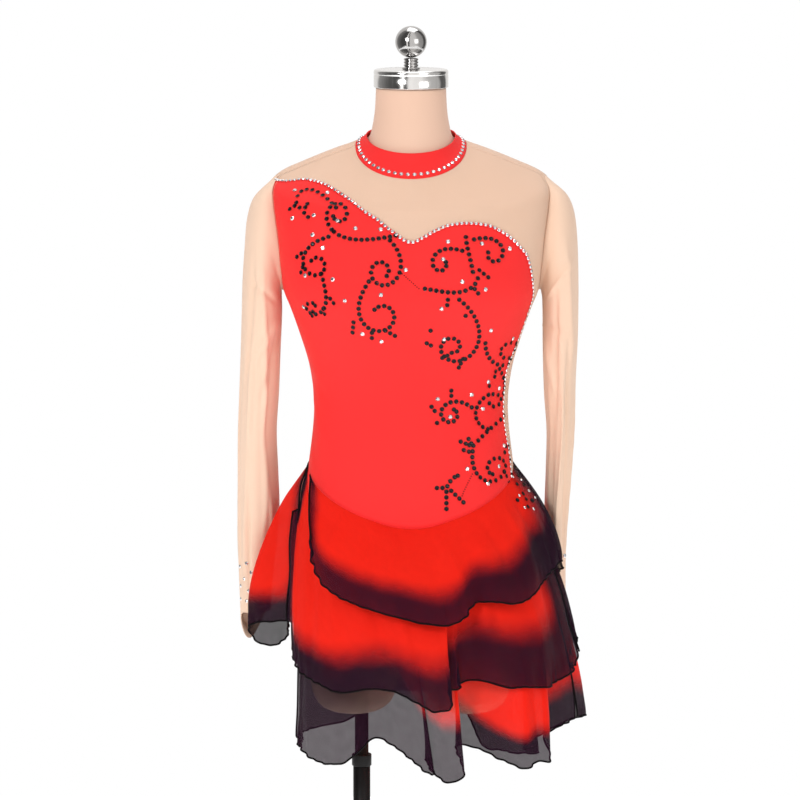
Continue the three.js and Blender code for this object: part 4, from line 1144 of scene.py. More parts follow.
FALL = ["top", "x", "y", "z", "swell"]
TIERS = {
    "tier_3_back": {
        "drop": [60, 60, 60],
        "layers": 0,
        "over": [],
        "falls": table(
            FALL,
            [95.9, 216.6, -54.4, 669, 0],
            [101, 229, -16, 662, 0],
            [107, 208, 4, 652, 0],
            [114, 172, 22, 628, 0],
            [121, 152, 60, 604, 0],
            [128, 160, 102, 588, 0],
            [135, 172, 138, 578, 0],
            [144, 144, 156, 574, 0],
            [153, 122, 188, 572, 0],
            [162, 98, 182, 580, 0],
            [171, 66, 204, 636, 0],
            [181, 8, 190, 654, 0],
            [191, -38, 204, 646, 0],
            [202, -84, 180, 616, 0],
            [213, -124, 176, 607, 0],
            [224, -150, 136, 606, 0],
            [235, -146, 92, 608, 0],
            [246, -148, 50, 611, 0],
            [256, -146, 12, 617, 0],
            [264, -147, -14, 620, 0],
            [271.5, -146, -34, 628, 0],
        ),
    },
    "tier_3_front": {
        "drop": [60, 60, 60],
        "layers": 0,
        "over": ["tier_3_back"],
        "falls": table(
            FALL,
            [-87.5, -149, -52, 642, 0],
            [-78, -143, -82, 631, 0],
            [-68, -121, -114, 622, 0],
            [-58, -92, -138, 624, 0],
            [-48, -71, -134, 636, 0],
            [-37, -46, -122, 655, 0],
            [-25, -16, -152, 646, 0],
            [-13, 12, -178, 628, 0],
            [-8, 27, -186, 620, 0],
            [-6, 23, -172, 631, 0],
            [-4, 19, -164, 636, 0],
            [-1, 28, -178, 624, 0],
            [3, 42, -194, 613, 0],
            [8, 54, -194, 613, 0],
            [12, 68, -190, 620, 0],
            [14, 64, -172, 636, 0],
            [16, 58, -156, 648, 0],
            [20, 64, -142, 650, 0],
            [27, 78, -136, 647, 0],
            [38, 98, -146, 641, 0],
            [49, 126, -160, 630, 0],
            [59, 150, -166, 624, 0],
            [68, 163, -148, 630, 0],
            [77, 180, -138, 627, 0],
            [79, 178, -122, 640, 0],
            [81, 172, -110, 652, 0],
            [84, 178, -98, 657, 0],
            [89, 198, -82, 664, 0],
            [95.5, 216, -56, 668, 0],
        ),
    },
    "tier_2_back": {
        "drop": [26, 26, 26],
        "layers": 1,
        "over": ["tier_3_back", "tier_3_front"],
        "falls": table(
            FALL,
            [90.4, 212.2, -22.4, 749, 0],
            [98, 214, -12, 770, 0],
            [107, 184, -6, 764, 0],
            [114, 160, 12, 752, 0],
            [121, 158, 60, 740, 0],
            [128, 160, 98, 731, 0],
            [135, 170, 132, 724, 0],
            [144, 138, 146, 718, 0],
            [153, 120, 178, 713, 0],
            [162, 76, 168, 709, 0],
            [171, 40, 192, 706, 0],
            [181, -6, 176, 704, 0],
            [191, -50, 192, 704, 0],
            [202, -88, 170, 704, 0],
            [213, -124, 170, 706, 0],
            [224, -152, 136, 710, 0],
            [235, -152, 92, 716, 0],
            [246, -153, 50, 724, 0],
            [256, -154, 18, 732, 0],
            [264, -154, -4, 738, 0],
            [271.5, -154, -24, 742, 0],
        ),
    },
    "tier_1_back": {
        "drop": [1, 1, 1],
        "layers": 2,
        "over": ["tier_2_back", "tier_3_back", "tier_3_front"],
        "falls": table(
            FALL,
            [95.9, 192.4, -8.6, 868, 2],
            [103, 168, 2, 854, 0],
            [111, 162, 36, 838, 0],
            [119, 164, 86, 824, 0],
            [128, 166, 124, 814, 0],
            [138, 134, 136, 806, 0],
            [148, 112, 160, 799, 0],
            [158, 76, 156, 794, 0],
            [168, 44, 176, 791, 0],
            [178, 4, 164, 789, 0],
            [188, -36, 178, 788, 0],
            [199, -74, 158, 787, 0],
            [211, -110, 162, 784, 0],
            [221, -136, 140, 779, 0],
            [230, -160, 124, 772, 0],
            [238, -164, 78, 762, 0],
            [245, -164, 36, 759, 0],
            [251, -178, 8, 753, 2],
            [257, -200, -2, 757, 6],
            [261, -214, -14, 779, 8],
            [264, -203, -30, 789, 5],
            [267, -174, -43, 794, 0],
            [268.6, -152, -50, 795, 0],
            [269.5, -147, -62, 797, 0],
        ),
    },
    "tier_2_front": {
        "drop": [4, 26, 26],
        "layers": 1,
        "over": ["tier_3_back", "tier_3_front", "tier_2_back", "tier_1_back"],
        "falls": table(
            FALL,
            [-86, -153, -50, 758, 8],
            [-81, -151, -74, 745, 7],
            [-72, -142, -100, 736, 5],
            [-62, -121, -128, 728, 3],
            [-50, -92, -149, 720, 0],
            [-38, -58, -163, 727, 0],
            [-25, -28, -169, 727, 0],
            [-12, 0, -180, 717, 0],
            [-1, 24, -188, 705, 0],
            [6, 42, -190, 704, 0],
            [10, 52, -188, 708, 0],
            [12, 49, -176, 720, 0],
            [14, 45, -166, 728, 0],
            [18, 54, -160, 730, 0],
            [22, 64, -156, 734, 0],
            [28, 78, -154, 738, 0],
            [39, 99, -164, 737, 0],
            [50, 125, -156, 728, 0],
            [60, 150, -142, 727, 0],
            [70, 175, -122, 722, 0],
            [78, 190, -90, 724, 0],
            [85, 206, -56, 730, 0],
            [90, 212, -24, 748, 0],
        ),
    },
    "tier_1_front": {
        "drop": [1, 1, 1],
        "layers": 2,
        "over": ["tier_3_front", "tier_2_back", "tier_1_back", "tier_2_front"],
        "falls": table(
            FALL,
            [-75, -129, -112, 905, 3],
            [-70, -126, -120, 880, 3],
            [-64, -112, -134, 857, 3],
            [-54, -86, -150, 842, 2],
            [-42, -52, -162, 831, 0],
            [-28, -16, -170, 822, 0],
            [-12, 18, -175, 815, 0],
            [2, 44, -176, 813, 0],
            [13, 66, -168, 819, 0],
            [23, 84, -150, 838, 0],
            [35, 112, -154, 839, 0],
            [47, 139, -138, 835, 0],
            [59, 158, -116, 842, 0],
            [70, 170, -88, 852, 0],
            [80, 183, -54, 862, 2],
            [89, 197, -26, 871, 4],
            [95.5, 193, -10, 868, 2],
        ),
    },
}
FLARE = 1.55
TUCK = {"rise": 1.5, "lift": 2.2}  # where a tier that is sewn into the waist seam starts
HIP_CLEARANCE = 1.6
LAYER = 2.4
TIER_CLEARANCE = 8
COLUMNS_PER_FALL = 11
FALL_ROWS = 60
RAY_START = 900


def clear_of_hips(points, distance):
    """Moves points out until they clear the skin of the hips."""
    ring = ring_at(np.maximum(points[..., 2], HIP_LOW))
    depth = np.where(points[..., 1] < ring["centre"], ring["front"], ring["back"])
    across = np.abs(points[..., 0]) / (ring["halfWidth"] + distance)
    along = np.abs(points[..., 1] - ring["centre"]) / (depth + distance)
    inside = np.minimum(1, (across ** ring["power"] + along ** ring["power"]) ** (1 / ring["power"]))
    inside = np.maximum(inside, 0.05)
    points[..., 0] /= inside
    points[..., 1] = ring["centre"] + (points[..., 1] - ring["centre"]) / inside


def grid_tree(grid):
    """A search tree of a grid's faces."""
    rows, columns = grid.shape[:2]
    r, c = np.meshgrid(np.arange(rows - 1), np.arange(columns - 1), indexing="ij")
    at = r * columns + c
    faces = np.stack([at, at + 1, at + columns + 1, at + columns], -1).reshape(-1, 4)
    return BVHTree.FromPolygons(grid.reshape(-1, 3).tolist(), faces.tolist())


def clear_of_tier(points, tree, distances):
    """Moves points out until they clear a tier that hangs under them."""
    for point, distance in zip(points.reshape(-1, 3), distances.ravel()):
        reach = math.hypot(point[0], point[1])
        out = Vector((point[0] / reach, point[1] / reach, 0))
        start = Vector((0, 0, point[2])) + out * RAY_START
        _, _, _, travelled = tree.ray_cast(start, -out, RAY_START)
        if travelled is None:
            continue
        short = RAY_START - travelled + distance - reach
        if short > 0:
            point[0] += out[0] * short
            point[1] += out[1] * short


def tier(cut, trees):
    """A tier's outer face, from its falls. Its rows run from the hem up to where it is sewn on."""
    falls = dict(cut["falls"])
    last = len(falls["top"]) - 1
    falls["i"] = np.arange(last + 1, dtype=float)
    share = np.linspace(0, 1, last * COLUMNS_PER_FALL + 1)
    fall = {name: smooth(falls, "i", name, share * last) for name in FALL}
    drops = table(["share", "drop"], [0, cut["drop"][0]], [0.12, cut["drop"][1]], [1, cut["drop"][2]])
    drop = smooth(drops, "share", "drop", share)
    angle = np.radians(fall["top"])
    tucked = 1 - eased(drop, 4, 9)
    height = seam_height(angle) - mix(drop, -TUCK["rise"], tucked)
    start = above(angle, height, mix(WALL_OUTER + 0.6, TUCK["lift"], tucked)[:, None])
    reach = np.hypot(fall["x"], fall["y"])
    grid = np.zeros((FALL_ROWS + 1, len(share), 3))
    for r in range(FALL_ROWS + 1):
        t = 1 - r / FALL_ROWS
        flare = 1 - (1 - t) ** FLARE
        out = 4 * t * (1 - t) * fall["swell"] / reach
        grid[r, :, 0] = mix(start[:, 0], fall["x"], flare) + out * fall["x"]
        grid[r, :, 1] = mix(start[:, 1], fall["y"], flare) + out * fall["y"]
        grid[r, :, 2] = mix(start[:, 2], fall["z"], t)
    lower = grid[:-1]
    below = (start[:, 2] - grid[..., 2])[:-1]
    full = HIP_CLEARANCE + WALL + cut["layers"] * LAYER
    clear_of_hips(lower, WALL_OUTER + mix(0.6, full, eased(below, 0, 34)))
    for name in cut["over"]:
        clear_of_tier(lower, trees[name], mix(2.0, TIER_CLEARANCE, eased(below, 0, 45)))
    return grid


# Each row is one soft fold of a tier, as shares of its width and of its fall from hem to seam.
TIER_CREASES = {
    "tier_1_front": table(
        CREASE,
        [0.1, 0.1, 0.2, 0.95, 9, 2.2],
        [0.2, 0.05, 0.3, 0.9, 10, -2.4],
        [0.3, 0.2, 0.36, 0.96, 8, 1.8],
        [0.44, 0.0, 0.46, 0.7, 12, -2.6],
        [0.52, 0.15, 0.52, 0.95, 9, 2.0],
        [0.62, 0.0, 0.6, 0.75, 10, 2.6],
        [0.7, 0.1, 0.66, 0.95, 9, -2.6],
        [0.78, 0.0, 0.74, 0.9, 8, 2.4],
        [0.86, 0.1, 0.82, 0.95, 9, -2.4],
        [0.94, 0.0, 0.9, 0.95, 8, 2.2],
    ),
    "tier_2_front": table(
        CREASE,
        [0.06, 0.1, 0.08, 0.95, 8, 2.4],
        [0.14, 0.0, 0.16, 0.9, 9, -2.6],
        [0.22, 0.1, 0.24, 0.8, 10, 2.2],
        [0.33, 0.0, 0.34, 0.6, 12, -2.6],
        [0.42, 0.1, 0.42, 0.7, 9, 2.2],
        [0.53, 0.0, 0.52, 0.7, 10, -2.4],
        [0.62, 0.05, 0.6, 0.8, 9, 2.6],
        [0.72, 0.0, 0.7, 0.7, 9, -2.4],
        [0.81, 0.05, 0.78, 0.9, 8, 2.4],
        [0.9, 0.0, 0.88, 0.8, 9, -2.2],
    ),
    "tier_3_front": table(
        CREASE,
        [0.07, 0.0, 0.1, 0.6, 9, 2.6],
        [0.16, 0.0, 0.18, 0.5, 8, -2.6],
        [0.26, 0.05, 0.27, 0.6, 9, 2.4],
        [0.36, 0.0, 0.36, 0.5, 8, -2.6],
        [0.46, 0.0, 0.46, 0.6, 10, 2.6],
        [0.57, 0.0, 0.56, 0.5, 8, -2.4],
        [0.66, 0.0, 0.65, 0.6, 9, 2.6],
        [0.77, 0.05, 0.76, 0.5, 9, -2.6],
        [0.88, 0.0, 0.86, 0.6, 8, 2.6],
    ),
    "tier_1_back": table(
        CREASE,
        [0.05, 0.05, 0.06, 0.9, 8, 2.2],
        [0.13, 0.0, 0.14, 0.85, 9, -2.4],
        [0.22, 0.1, 0.2, 0.95, 9, 2.4],
        [0.31, 0.0, 0.3, 0.8, 10, -2.2],
        [0.39, 0.05, 0.4, 0.95, 8, 2.4],
        [0.48, 0.0, 0.47, 0.7, 10, -2.6],
        [0.56, 0.1, 0.56, 0.9, 9, 2.2],
        [0.65, 0.0, 0.64, 0.95, 9, -2.4],
        [0.73, 0.05, 0.74, 0.8, 8, 2.6],
        [0.82, 0.0, 0.84, 0.9, 9, -2.4],
        [0.9, 0.1, 0.93, 0.95, 8, 2.4],
    ),
    "tier_2_back": table(
        CREASE,
        [0.06, 0.0, 0.07, 0.7, 8, 2.4],
        [0.16, 0.05, 0.15, 0.8, 9, -2.4],
        [0.26, 0.0, 0.27, 0.6, 9, 2.6],
        [0.36, 0.0, 0.35, 0.8, 10, -2.4],
        [0.45, 0.05, 0.46, 0.7, 8, 2.4],
        [0.56, 0.0, 0.55, 0.6, 10, -2.6],
        [0.66, 0.0, 0.67, 0.8, 9, 2.4],
        [0.76, 0.05, 0.75, 0.7, 9, -2.4],
        [0.87, 0.0, 0.88, 0.8, 8, 2.4],
    ),
    "tier_3_back": table(
        CREASE,
        [0.05, 0.0, 0.06, 0.6, 8, 2.6],
        [0.15, 0.05, 0.14, 0.5, 9, -2.6],
        [0.24, 0.0, 0.25, 0.7, 9, 2.4],
        [0.35, 0.0, 0.34, 0.5, 8, -2.6],
        [0.45, 0.0, 0.46, 0.6, 10, 2.6],
        [0.55, 0.05, 0.54, 0.5, 8, -2.4],
        [0.64, 0.0, 0.65, 0.7, 9, 2.6],
        [0.75, 0.0, 0.74, 0.5, 9, -2.6],
        [0.86, 0.0, 0.87, 0.6, 8, 2.6],
        [0.95, 0.0, 0.95, 0.5, 8, -2.2],
    ),
}
WAVE = {"length": 17.0, "reach": 1.7, "depth": 26.0}  # the small waves that the rolled hem pulls
EDGE_FADE = 1.4  # how much faster the black fades from a free side edge than from a hem
EDGE_START = 8  # how far into the black a free side edge starts
CORNER_BLEND = 14.0  # how softly the black of a hem and of a side edge run together
ROLL = 1.25  # the radius of the rolled hem
# How far above its hem each tier is wholly black and wholly red, along its width.
DYE_COLUMNS = ["share", "black", "red"]
DYE = {
    "tier_1_front": table(
        DYE_COLUMNS,
        [0, 26, 60], [0.3, 22, 60], [0.6, 26, 66], [0.8, 50, 98], [0.92, 44, 92], [1, 30, 70],
    ),
    "tier_2_front": table(
        DYE_COLUMNS,
        [0, 24, 62], [0.3, 26, 70], [0.5, 36, 84], [0.6, 46, 92], [0.75, 50, 98], [1, 60, 106],
    ),
    "tier_3_front": table(
        DYE_COLUMNS,
        [0, 96, 140], [0.34, 92, 136], [0.42, 60, 100], [0.52, 56, 92], [0.62, 42, 78], [0.68, 28, 52],
        [0.84, 28, 54], [0.92, 30, 66], [1, 30, 70],
    ),
    "tier_1_back": table(
        DYE_COLUMNS,
        [0, 26, 60], [0.5, 32, 78], [0.75, 52, 96], [0.88, 28, 60], [1, 16, 36],
    ),
    "tier_2_back": table(DYE_COLUMNS, [0, 24, 58], [0.5, 36, 84], [1, 32, 76]),
    "tier_3_back": table(
        DYE_COLUMNS,
        [0, 26, 64], [0.25, 26, 58], [0.45, 30, 66], [0.6, 66, 112], [1, 80, 122],
    ),
}


def hem_waves(grid):
    """The hem's small waves, uneven in length and reach, which die out above it."""
    up, along = grid_lengths(grid)
    s = along[0]
    phase = 2 * PI * (s / WAVE["length"] + 0.32 * np.sin(s / 61.0) + 0.21 * np.sin(s / 23.0 + 1.7))
    reach = WAVE["reach"] * (0.75 + 0.35 * np.sin(s / 37.0 + 0.6) + 0.2 * np.sin(s / 13.0))
    fading = np.exp(-((up / WAVE["depth"]) ** 2))
    normals = normals_of(grid)
    waved = grid + (fading * (reach * np.sin(phase))[None])[..., None] * normals
    waved[..., 2] += fading * (0.35 * reach * np.sin(phase * 0.5 + 0.9))[None]
    return waved


def edge_fade(grid, left, right, dye):
    """How red the dye is: 0 where it is wholly black near a hem or free edge, 1 where it is wholly red."""
    up, along = grid_lengths(grid)
    fields = [up]
    if left:
        fields.append(along * EDGE_FADE + EDGE_START)
    if right:
        fields.append((along[:, -1:] - along) * EDGE_FADE + EDGE_START)
    total = sum(np.exp(-field / CORNER_BLEND) for field in fields)
    distance = -CORNER_BLEND * np.log(np.maximum(total, 1e-12))
    share = along / along[:, -1:]
    black, red = (smooth(dye, "share", level, share) for level in ("black", "red"))
    return (distance - black) / (red - black)


# Whether the black runs up a tier's first and last edge. It runs up both edges of the tiers not named.
FREE_EDGES = {"tier_3_front": (True, False), "tier_3_back": (False, True)}


def skirt():
    """All the tiers, inner ones first: each one's cloth, its rolled hem and its grid of points."""
    trees, cloths = {}, {}
    for name, cut in TIERS.items():
        grid = tier(cut, trees)
        trees[name] = grid_tree(grid)
        shaped = creased(grid, TIER_CREASES[name])
        shaped[-1] = grid[-1]
        shaped = hem_waves(shaped)
        fade = edge_fade(grid, *FREE_EDGES.get(name, (True, True)), DYE[name])
        cloth = shell(f"{name}_cloth", shaped, sheer_chiffon, SHEER, fields={"fade": fade})
        middle = shaped - SHEER / 2 * normals_of(shaped)
        path = np.concatenate([middle[::-1, 0], middle[0, 1:-1], middle[:, -1]])
        cord = tube(f"{name}_rolled_hem", path, ROLL, black_thread, 7)
        cloths[name] = (cloth, cord, shaped)
    return cloths


# The form and the stand

STUB = table(
    ["z", "halfWidth", "halfDepth"],
    [666, 16, 18], [668, 32, 40], [675, 45, 55], [687, 53, 65], [705, 57, 71], [745, 58, 76],
    [786, 56, 78],
)
STUB_X = 75
STUB_Y = 6
FORM_DEPTH = 1.6  # how far the form's cover lies below the skin


def dress_form():
    columns = 120
    angles = full_turn(columns)
    heights = [*UNDER_HEIGHTS, *np.linspace(HIP_LOW, 1340, 70), *np.linspace(1344, NECK_TOP, 60)]
    obj = rings_object("form_body", [above(angles, h, -FORM_DEPTH) for h in heights], jersey)
    for side in (-1, 1):
        rings = []
        for z in np.concatenate([np.linspace(666, 690, 16), np.linspace(694, 786, 14)]):
            wide, deep = smooth(STUB, "z", "halfWidth", z), smooth(STUB, "z", "halfDepth", z)
            x = side * STUB_X + wide * np.sin(angles)
            rings.append(np.stack([x, STUB_Y - deep * np.cos(angles), np.full(columns, z)], -1))
        boolean(obj, rings_object("stub", rings, jersey), "UNION")
    return obj


CAP = {"radius": 48.4, "low": NECK_TOP + 0.3, "high": 1512.5, "round": 3}
BALL = {"radius": 20.5, "z": 1548}
STEM = {"radius": 9.6, "groove": 7.6, "foot": 12}
POLE = {"x": -65, "y": 6, "radius": 9, "low": 350, "high": 665.7}
TUBE = {"radius": 11.3, "bore": 9.4, "top": 590}
LOCK = {"radius": 13, "height": 16, "edge": 1.5}
BASE = {"radius": 185, "height": 9, "edge": 4, "hub": 24, "hubHeight": 16}


def neck_cap():
    radius, low, high, edge = CAP["radius"], CAP["low"], CAP["high"], CAP["round"]
    profile = [(0, low), (radius - 1, low), *arc(radius - 1, low + 1, 1, -90, 0, 4)]
    groove = [(0, 7.2), (0.5, 6.8), (0.5, 6.2), (0, 5.8)]
    profile += [(radius - inward, high - down) for inward, down in groove]
    profile += arc(radius - edge, high - edge, edge, 0, 90, 8)
    profile += [(STEM["foot"] + 4, high), (0, high)]
    return turned("neck_cap_steel", profile, cap_steel, 128)


def finial_stem():
    """The stem below the ball: a foot, and a few beads with grooves between them."""
    low, high = CAP["high"] + 0.3, BALL["z"] - BALL["radius"] - 0.3
    beads = 3
    bead = (high - low - 3) / beads
    foot, groove = STEM["foot"] - 0.8, STEM["groove"]
    profile = [(0, low), (foot, low), *arc(foot, low + 1, 0.8, -80, 80, 6), (groove, low + 3)]
    for i in range(beads):
        z = low + 3 + i * bead
        swell = STEM["radius"] - groove
        for s in np.linspace(0.08, 1, 9):
            profile.append((groove + swell * math.sin(PI * s) ** 0.5 if s < 1 else groove, z + bead * s))
    profile.append((0, high))
    return turned("finial_stem_steel", profile, ball_steel, 64)


def finial_ball():
    radius, z = BALL["radius"], BALL["z"]
    profile = [(radius * math.sin(a), z - radius * math.cos(a)) for a in np.linspace(0, PI, 49)]
    profile[0], profile[-1] = (0, profile[0][1]), (0, profile[-1][1])
    return turned("finial_ball_steel", profile, ball_steel, 96)


def on_pole(name, profile):
    return turned(name, profile, powder_coat, 64, POLE["x"], POLE["y"])


def upper_pole():
    radius, low, high = POLE["radius"], POLE["low"], POLE["high"]
    profile = [(0, low), (radius, low), (radius, high), (0, high)]
    return on_pole("upper_pole_steel", profile)


def lower_tube():
    low = BASE["hubHeight"] + 0.3
    radius, bore, top = TUBE["radius"], TUBE["bore"], TUBE["top"]
    profile = [(bore, low), (radius, low), (radius, top - 0.6), (radius - 0.6, top), (bore, top)]
    return on_pole("lower_tube_steel", profile)


def lock_collar():
    low = TUBE["top"] + 0.3
    high = low + LOCK["height"]
    radius, edge, bore = LOCK["radius"], LOCK["edge"], TUBE["bore"]
    lower, upper = arc(radius - edge, low + edge, edge, -90, 0), arc(radius - edge, high - edge, edge, 0, 90)
    profile = [(bore, low), *lower, *upper, (bore, high)]
    return on_pole("lock_collar_steel", profile)


def base_plate():
    radius, height, edge = BASE["radius"], BASE["height"], BASE["edge"]
    rounded = arc(radius - edge, height - edge, edge, 0, 90, 8)
    plate = [(0, 0), (radius - 0.8, 0), (radius, 0.8), *rounded, (0, height)]
    obj = turned("base_plate_steel", plate, powder_coat, 160)
    hub, top = BASE["hub"], BASE["hubHeight"]
    boss = [(0, 1), (hub, 1), (hub, height + 1), *arc(hub - 5, top - 3, 3, 20, 90, 5), (0, top)]
    boolean(obj, on_pole("boss", boss), "UNION")
    return obj


# Sequins, rhinestones and stitching

# Curls that wind up evenly, as they are seen from the front: where each starts, which way it heads,
# in degrees above +X, how long it is, its curvature at both ends in radians a hundred millimetres,
# and the power that the curvature grows by.
CURL = ["x", "z", "heading", "length", "from", "to", "power"]
SCROLLS = table(
    CURL,
    [-20, 1306, 190, 84, -0.1, -3.2, 2],
    [-101, 1313, 135, 84, -3.8, -12.4, 1],
    [-96, 1339, 137, 85, 0.5, 17.7, 2],
    [-105, 1304, 200, 119, 0.3, 11.8, 1],
    [-113, 1258, 285, 92, -0.1, -20, 2],
    [-27, 1300, -44, 138, -1.9, -11, 1.4],
    [-54, 1250, 235, 145, 0.8, 7.75, 1],
    [18, 1241, -8, 76, -0.1, 6.6, 2],
    [78, 1261, 98, 46, 1.0, -1.4, 1],
    [65, 1287, 165, 78, 0.8, 15, 1.3],
    [80, 1301, 12, 80, -1, -13.5, 1.2],
    [61, 1228, -38, 190, -1.4, -12, 2.2],
    [94, 1168, -90, 132, 1.7, 10.4, 1],
    [112, 1130, -65, 38, -1.0, -3.0, 1],
    [98, 1096, 205, 61, 3.4, 4.8, 1],
    [104, 1096, 0, 38, -9, -16, 1],
    [77, 1081, 140, 92, 1.6, 12.6, 1],
    [85, 1037, 45, 46, -0.6, -0.3, 1],
    [79, 1031, 262, 136, 0.5, 10.8, 1],
    [119, 1017, 95, 24, -6, -22, 1],
    [133, 1006, 190, 38, 2, 18, 1],
    [46, 981, 62, 19, -1, -8, 1],
    [40, 979, 180, 7, 0, 0, 1],
    [45, 974, 270, 23, 0, 0, 1],
    [51, 975, -45, 24, 0, 0.3, 1],
)
# Short straight rows beside them: where each starts, which way it heads and how long it is.
SPRIG_ROWS = (
    (-154, 1336, 35, 9), (-136, 1332, -45, 7), (-139, 1282, 220, 7), (-137, 1265, 253, 9),
    (-102, 1228, -52, 9), (-111, 1214, -75, 8), (-124, 1209, 260, 6), (-73, 1198, 265, 14),
    (-50, 1184, -90, 7), (-33, 1187, -30, 14), (86, 1263, -38, 14), (80, 1241, -52, 7),
    (47, 1228, 263, 9), (69, 1207, 0, 1), (25, 1187, 0, 1), (20, 1170, -30, 6), (46, 1153, 205, 9),
    (66, 1148, 245, 13), (107, 1127, 260, 7), (99, 1108, 0, 1), (51, 1098, 90, 8), (30, 1078, 125, 8),
    (33, 1062, 0, 1), (63, 1037, -25, 12), (73, 1040, -60, 7), (67, 1026, -20, 7),
)
SPRIGS = table(CURL, *((*row, 0, 0, 1) for row in SPRIG_ROWS))
STONES = table(
    ["x", "z"],
    [-149, 1357], [-107, 1356], [-94, 1324], [-124, 1330], [-151, 1325], [-71, 1315], [-39, 1314],
    [-125, 1306], [-112, 1290], [-134, 1255], [-99, 1252], [-7, 1264], [-39, 1234], [-84, 1226],
    [-136, 1214], [-62, 1182], [-38, 1172], [47, 1299], [90, 1296], [125, 1289], [41, 1277], [65, 1250],
    [94, 1240], [39, 1216], [101, 1185], [129, 1170], [42, 1175], [98, 1114], [112, 1103], [34, 1094],
    [77, 1098], [92, 1078], [50, 1070], [118, 1026], [112, 1001], [72, 1002], [98, 981],
)
DOTS = table(["x0", "z0", "x1", "z1"], [-14, 1261, 10, 1241], [78, 995, 65, 968])
# What is sewn to the skirt's first tier below the right of the waist.
TIER_SEQUINS = table(
    ["x", "z"],
    [128, 1003], [136, 992], [141, 982], [138, 974], [147, 972], [146, 962], [138, 956], [150, 955],
    [158, 952], [152, 946],
)
TIER_STONES = table(
    ["x", "z"],
    [133, 983], [144, 978], [154, 964], [141, 961], [162, 955], [148, 946], [160, 942],
)
CUFF_STONES = {
    "left": table(
        ["x", "z"],
        [-217, 858], [-226, 850], [-211, 846], [-220, 836], [-225, 824], [-214, 820], [-225, 806],
        [-217, 806], [-207, 818],
    ),
    "right": table(["x", "z"], [203, 868], [192, 862], [200, 852], [188, 846]),
}
SEQUIN = {"radius": 3.0, "pitch": 7.3}
SPRIG = {"radius": 2.9, "pitch": 7.0}
EDGE_STONE = {"radius": 2.45, "pitch": 6.2, "inside": 1.4}
COLLAR_STONES = 56


def turned_shape(sides, profile):
    """A small faceted shape on the floor at the origin: its profile is radius and height, and ends flat."""
    points, faces = [], []
    for r, (radius, height) in enumerate(profile):
        for i in range(sides):
            a = 2 * PI * (i + 0.5 * (r % 2)) / sides
            points.append((radius * math.cos(a), radius * math.sin(a), height))
    for r in range(len(profile) - 1):
        for i in range(sides):
            j = (i + 1) % sides
            low, high = r * sides, (r + 1) * sides
            if r % 2:
                faces += [(low + i, low + j, high + j), (low + i, high + j, high + i)]
            else:
                faces += [(low + i, low + j, high + i), (low + j, high + j, high + i)]
    faces.append(tuple(range(sides))[::-1])
    faces.append(tuple((len(profile) - 1) * sides + i for i in range(sides)))
    return np.array(points), faces


STONE_SHAPE = turned_shape(8, [(0.9, 0), (1, 0.22), (0.56, 0.62)])
CUP_SHAPE = turned_shape(10, [(0.8, 0), (1, 0.34), (0.8, 0.3), (0.42, 0.1), (0.2, 0.1)])
BEAD_SHAPE = turned_shape(8, [(0.6, 0), (1, 0.55), (0.8, 1.1), (0.35, 1.4)])


def copies(name, shape, points, normals, radii, material, lean=0.1):
    """Many copies of one small shape on a surface, each leaning its own way, as one piece."""
    count = np.arange(len(points))
    sway = np.stack([np.sin(12.9 * count), np.sin(78.2 * count + 1), np.sin(37.7 * count + 2)], -1)
    normals = unit(normals + lean * sway)
    side = unit(np.cross(normals, [0.13, 0.2, 0.97]))
    other = np.cross(normals, side)
    local, faces = shape
    size = np.broadcast_to(np.asarray(radii, float), (len(points),))[:, None, None]
    local = local[None] * size
    axes = (side, other, normals)
    placed = points[:, None] + sum(local[..., i : i + 1] * axis[:, None] for i, axis in enumerate(axes))
    all_faces = [tuple(i + n * len(shape[0]) for i in face) for n in count for face in faces]
    return mesh_object(name, placed.reshape(-1, 3), all_faces, material, rounded=False)


def settled(points, grid):
    """The nearest points of a sheet of cloth, and the way it faces there."""
    tree = grid_tree(grid)
    found = [tree.find_nearest(Vector(point)) for point in points]
    return np.array([spot for spot, *_ in found]), np.array([normal for _, normal, *_ in found])


def on_bodice(x, z, grid):
    """Places of the red cloth and the way they face, by where they are seen from the front."""
    return settled(on_skin(locate(x, z), WALL_OUTER), grid)


def curls(rows, pitch):
    """Places along each curl, a pitch apart."""
    found = []
    for x, z, heading, length, start, end, power in zip(*(rows[k] for k in CURL)):
        s = np.linspace(0, length, 400)
        grown = (end - start) * s * (s / length) ** power / (power + 1)
        turn = degrees(heading) + (start * s + grown) / 100
        step = np.stack([np.cos(turn), np.sin(turn)], -1) * (s[1] - s[0])
        path = np.array([x, z]) + np.concatenate([[[0, 0]], np.cumsum((step[1:] + step[:-1]) / 2, 0)])
        at = np.arange(0, length + 0.5 * pitch, pitch)
        found.append(along_line(at, s, path))
    return np.concatenate(found)


def cast(grid, rows):
    """Where lines from the front meet a sheet of cloth, and the way the cloth faces there."""
    tree = grid_tree(grid)
    points, normals = [], []
    for x, z in zip(rows["x"], rows["z"]):
        spot, normal, _, _ = tree.ray_cast(Vector((x, -600, z)), Vector((0, 1, 0)))
        if spot is None:
            spot, normal, _, _ = tree.find_nearest(Vector((x, -60, z)))
        if normal.y > 0:
            normal = -normal
        points.append(spot)
        normals.append(normal)
    return np.array(points), np.array(normals)


LEAN = 0.16  # how far cup sequins lean their own ways
BEAD_RADIUS = 0.75


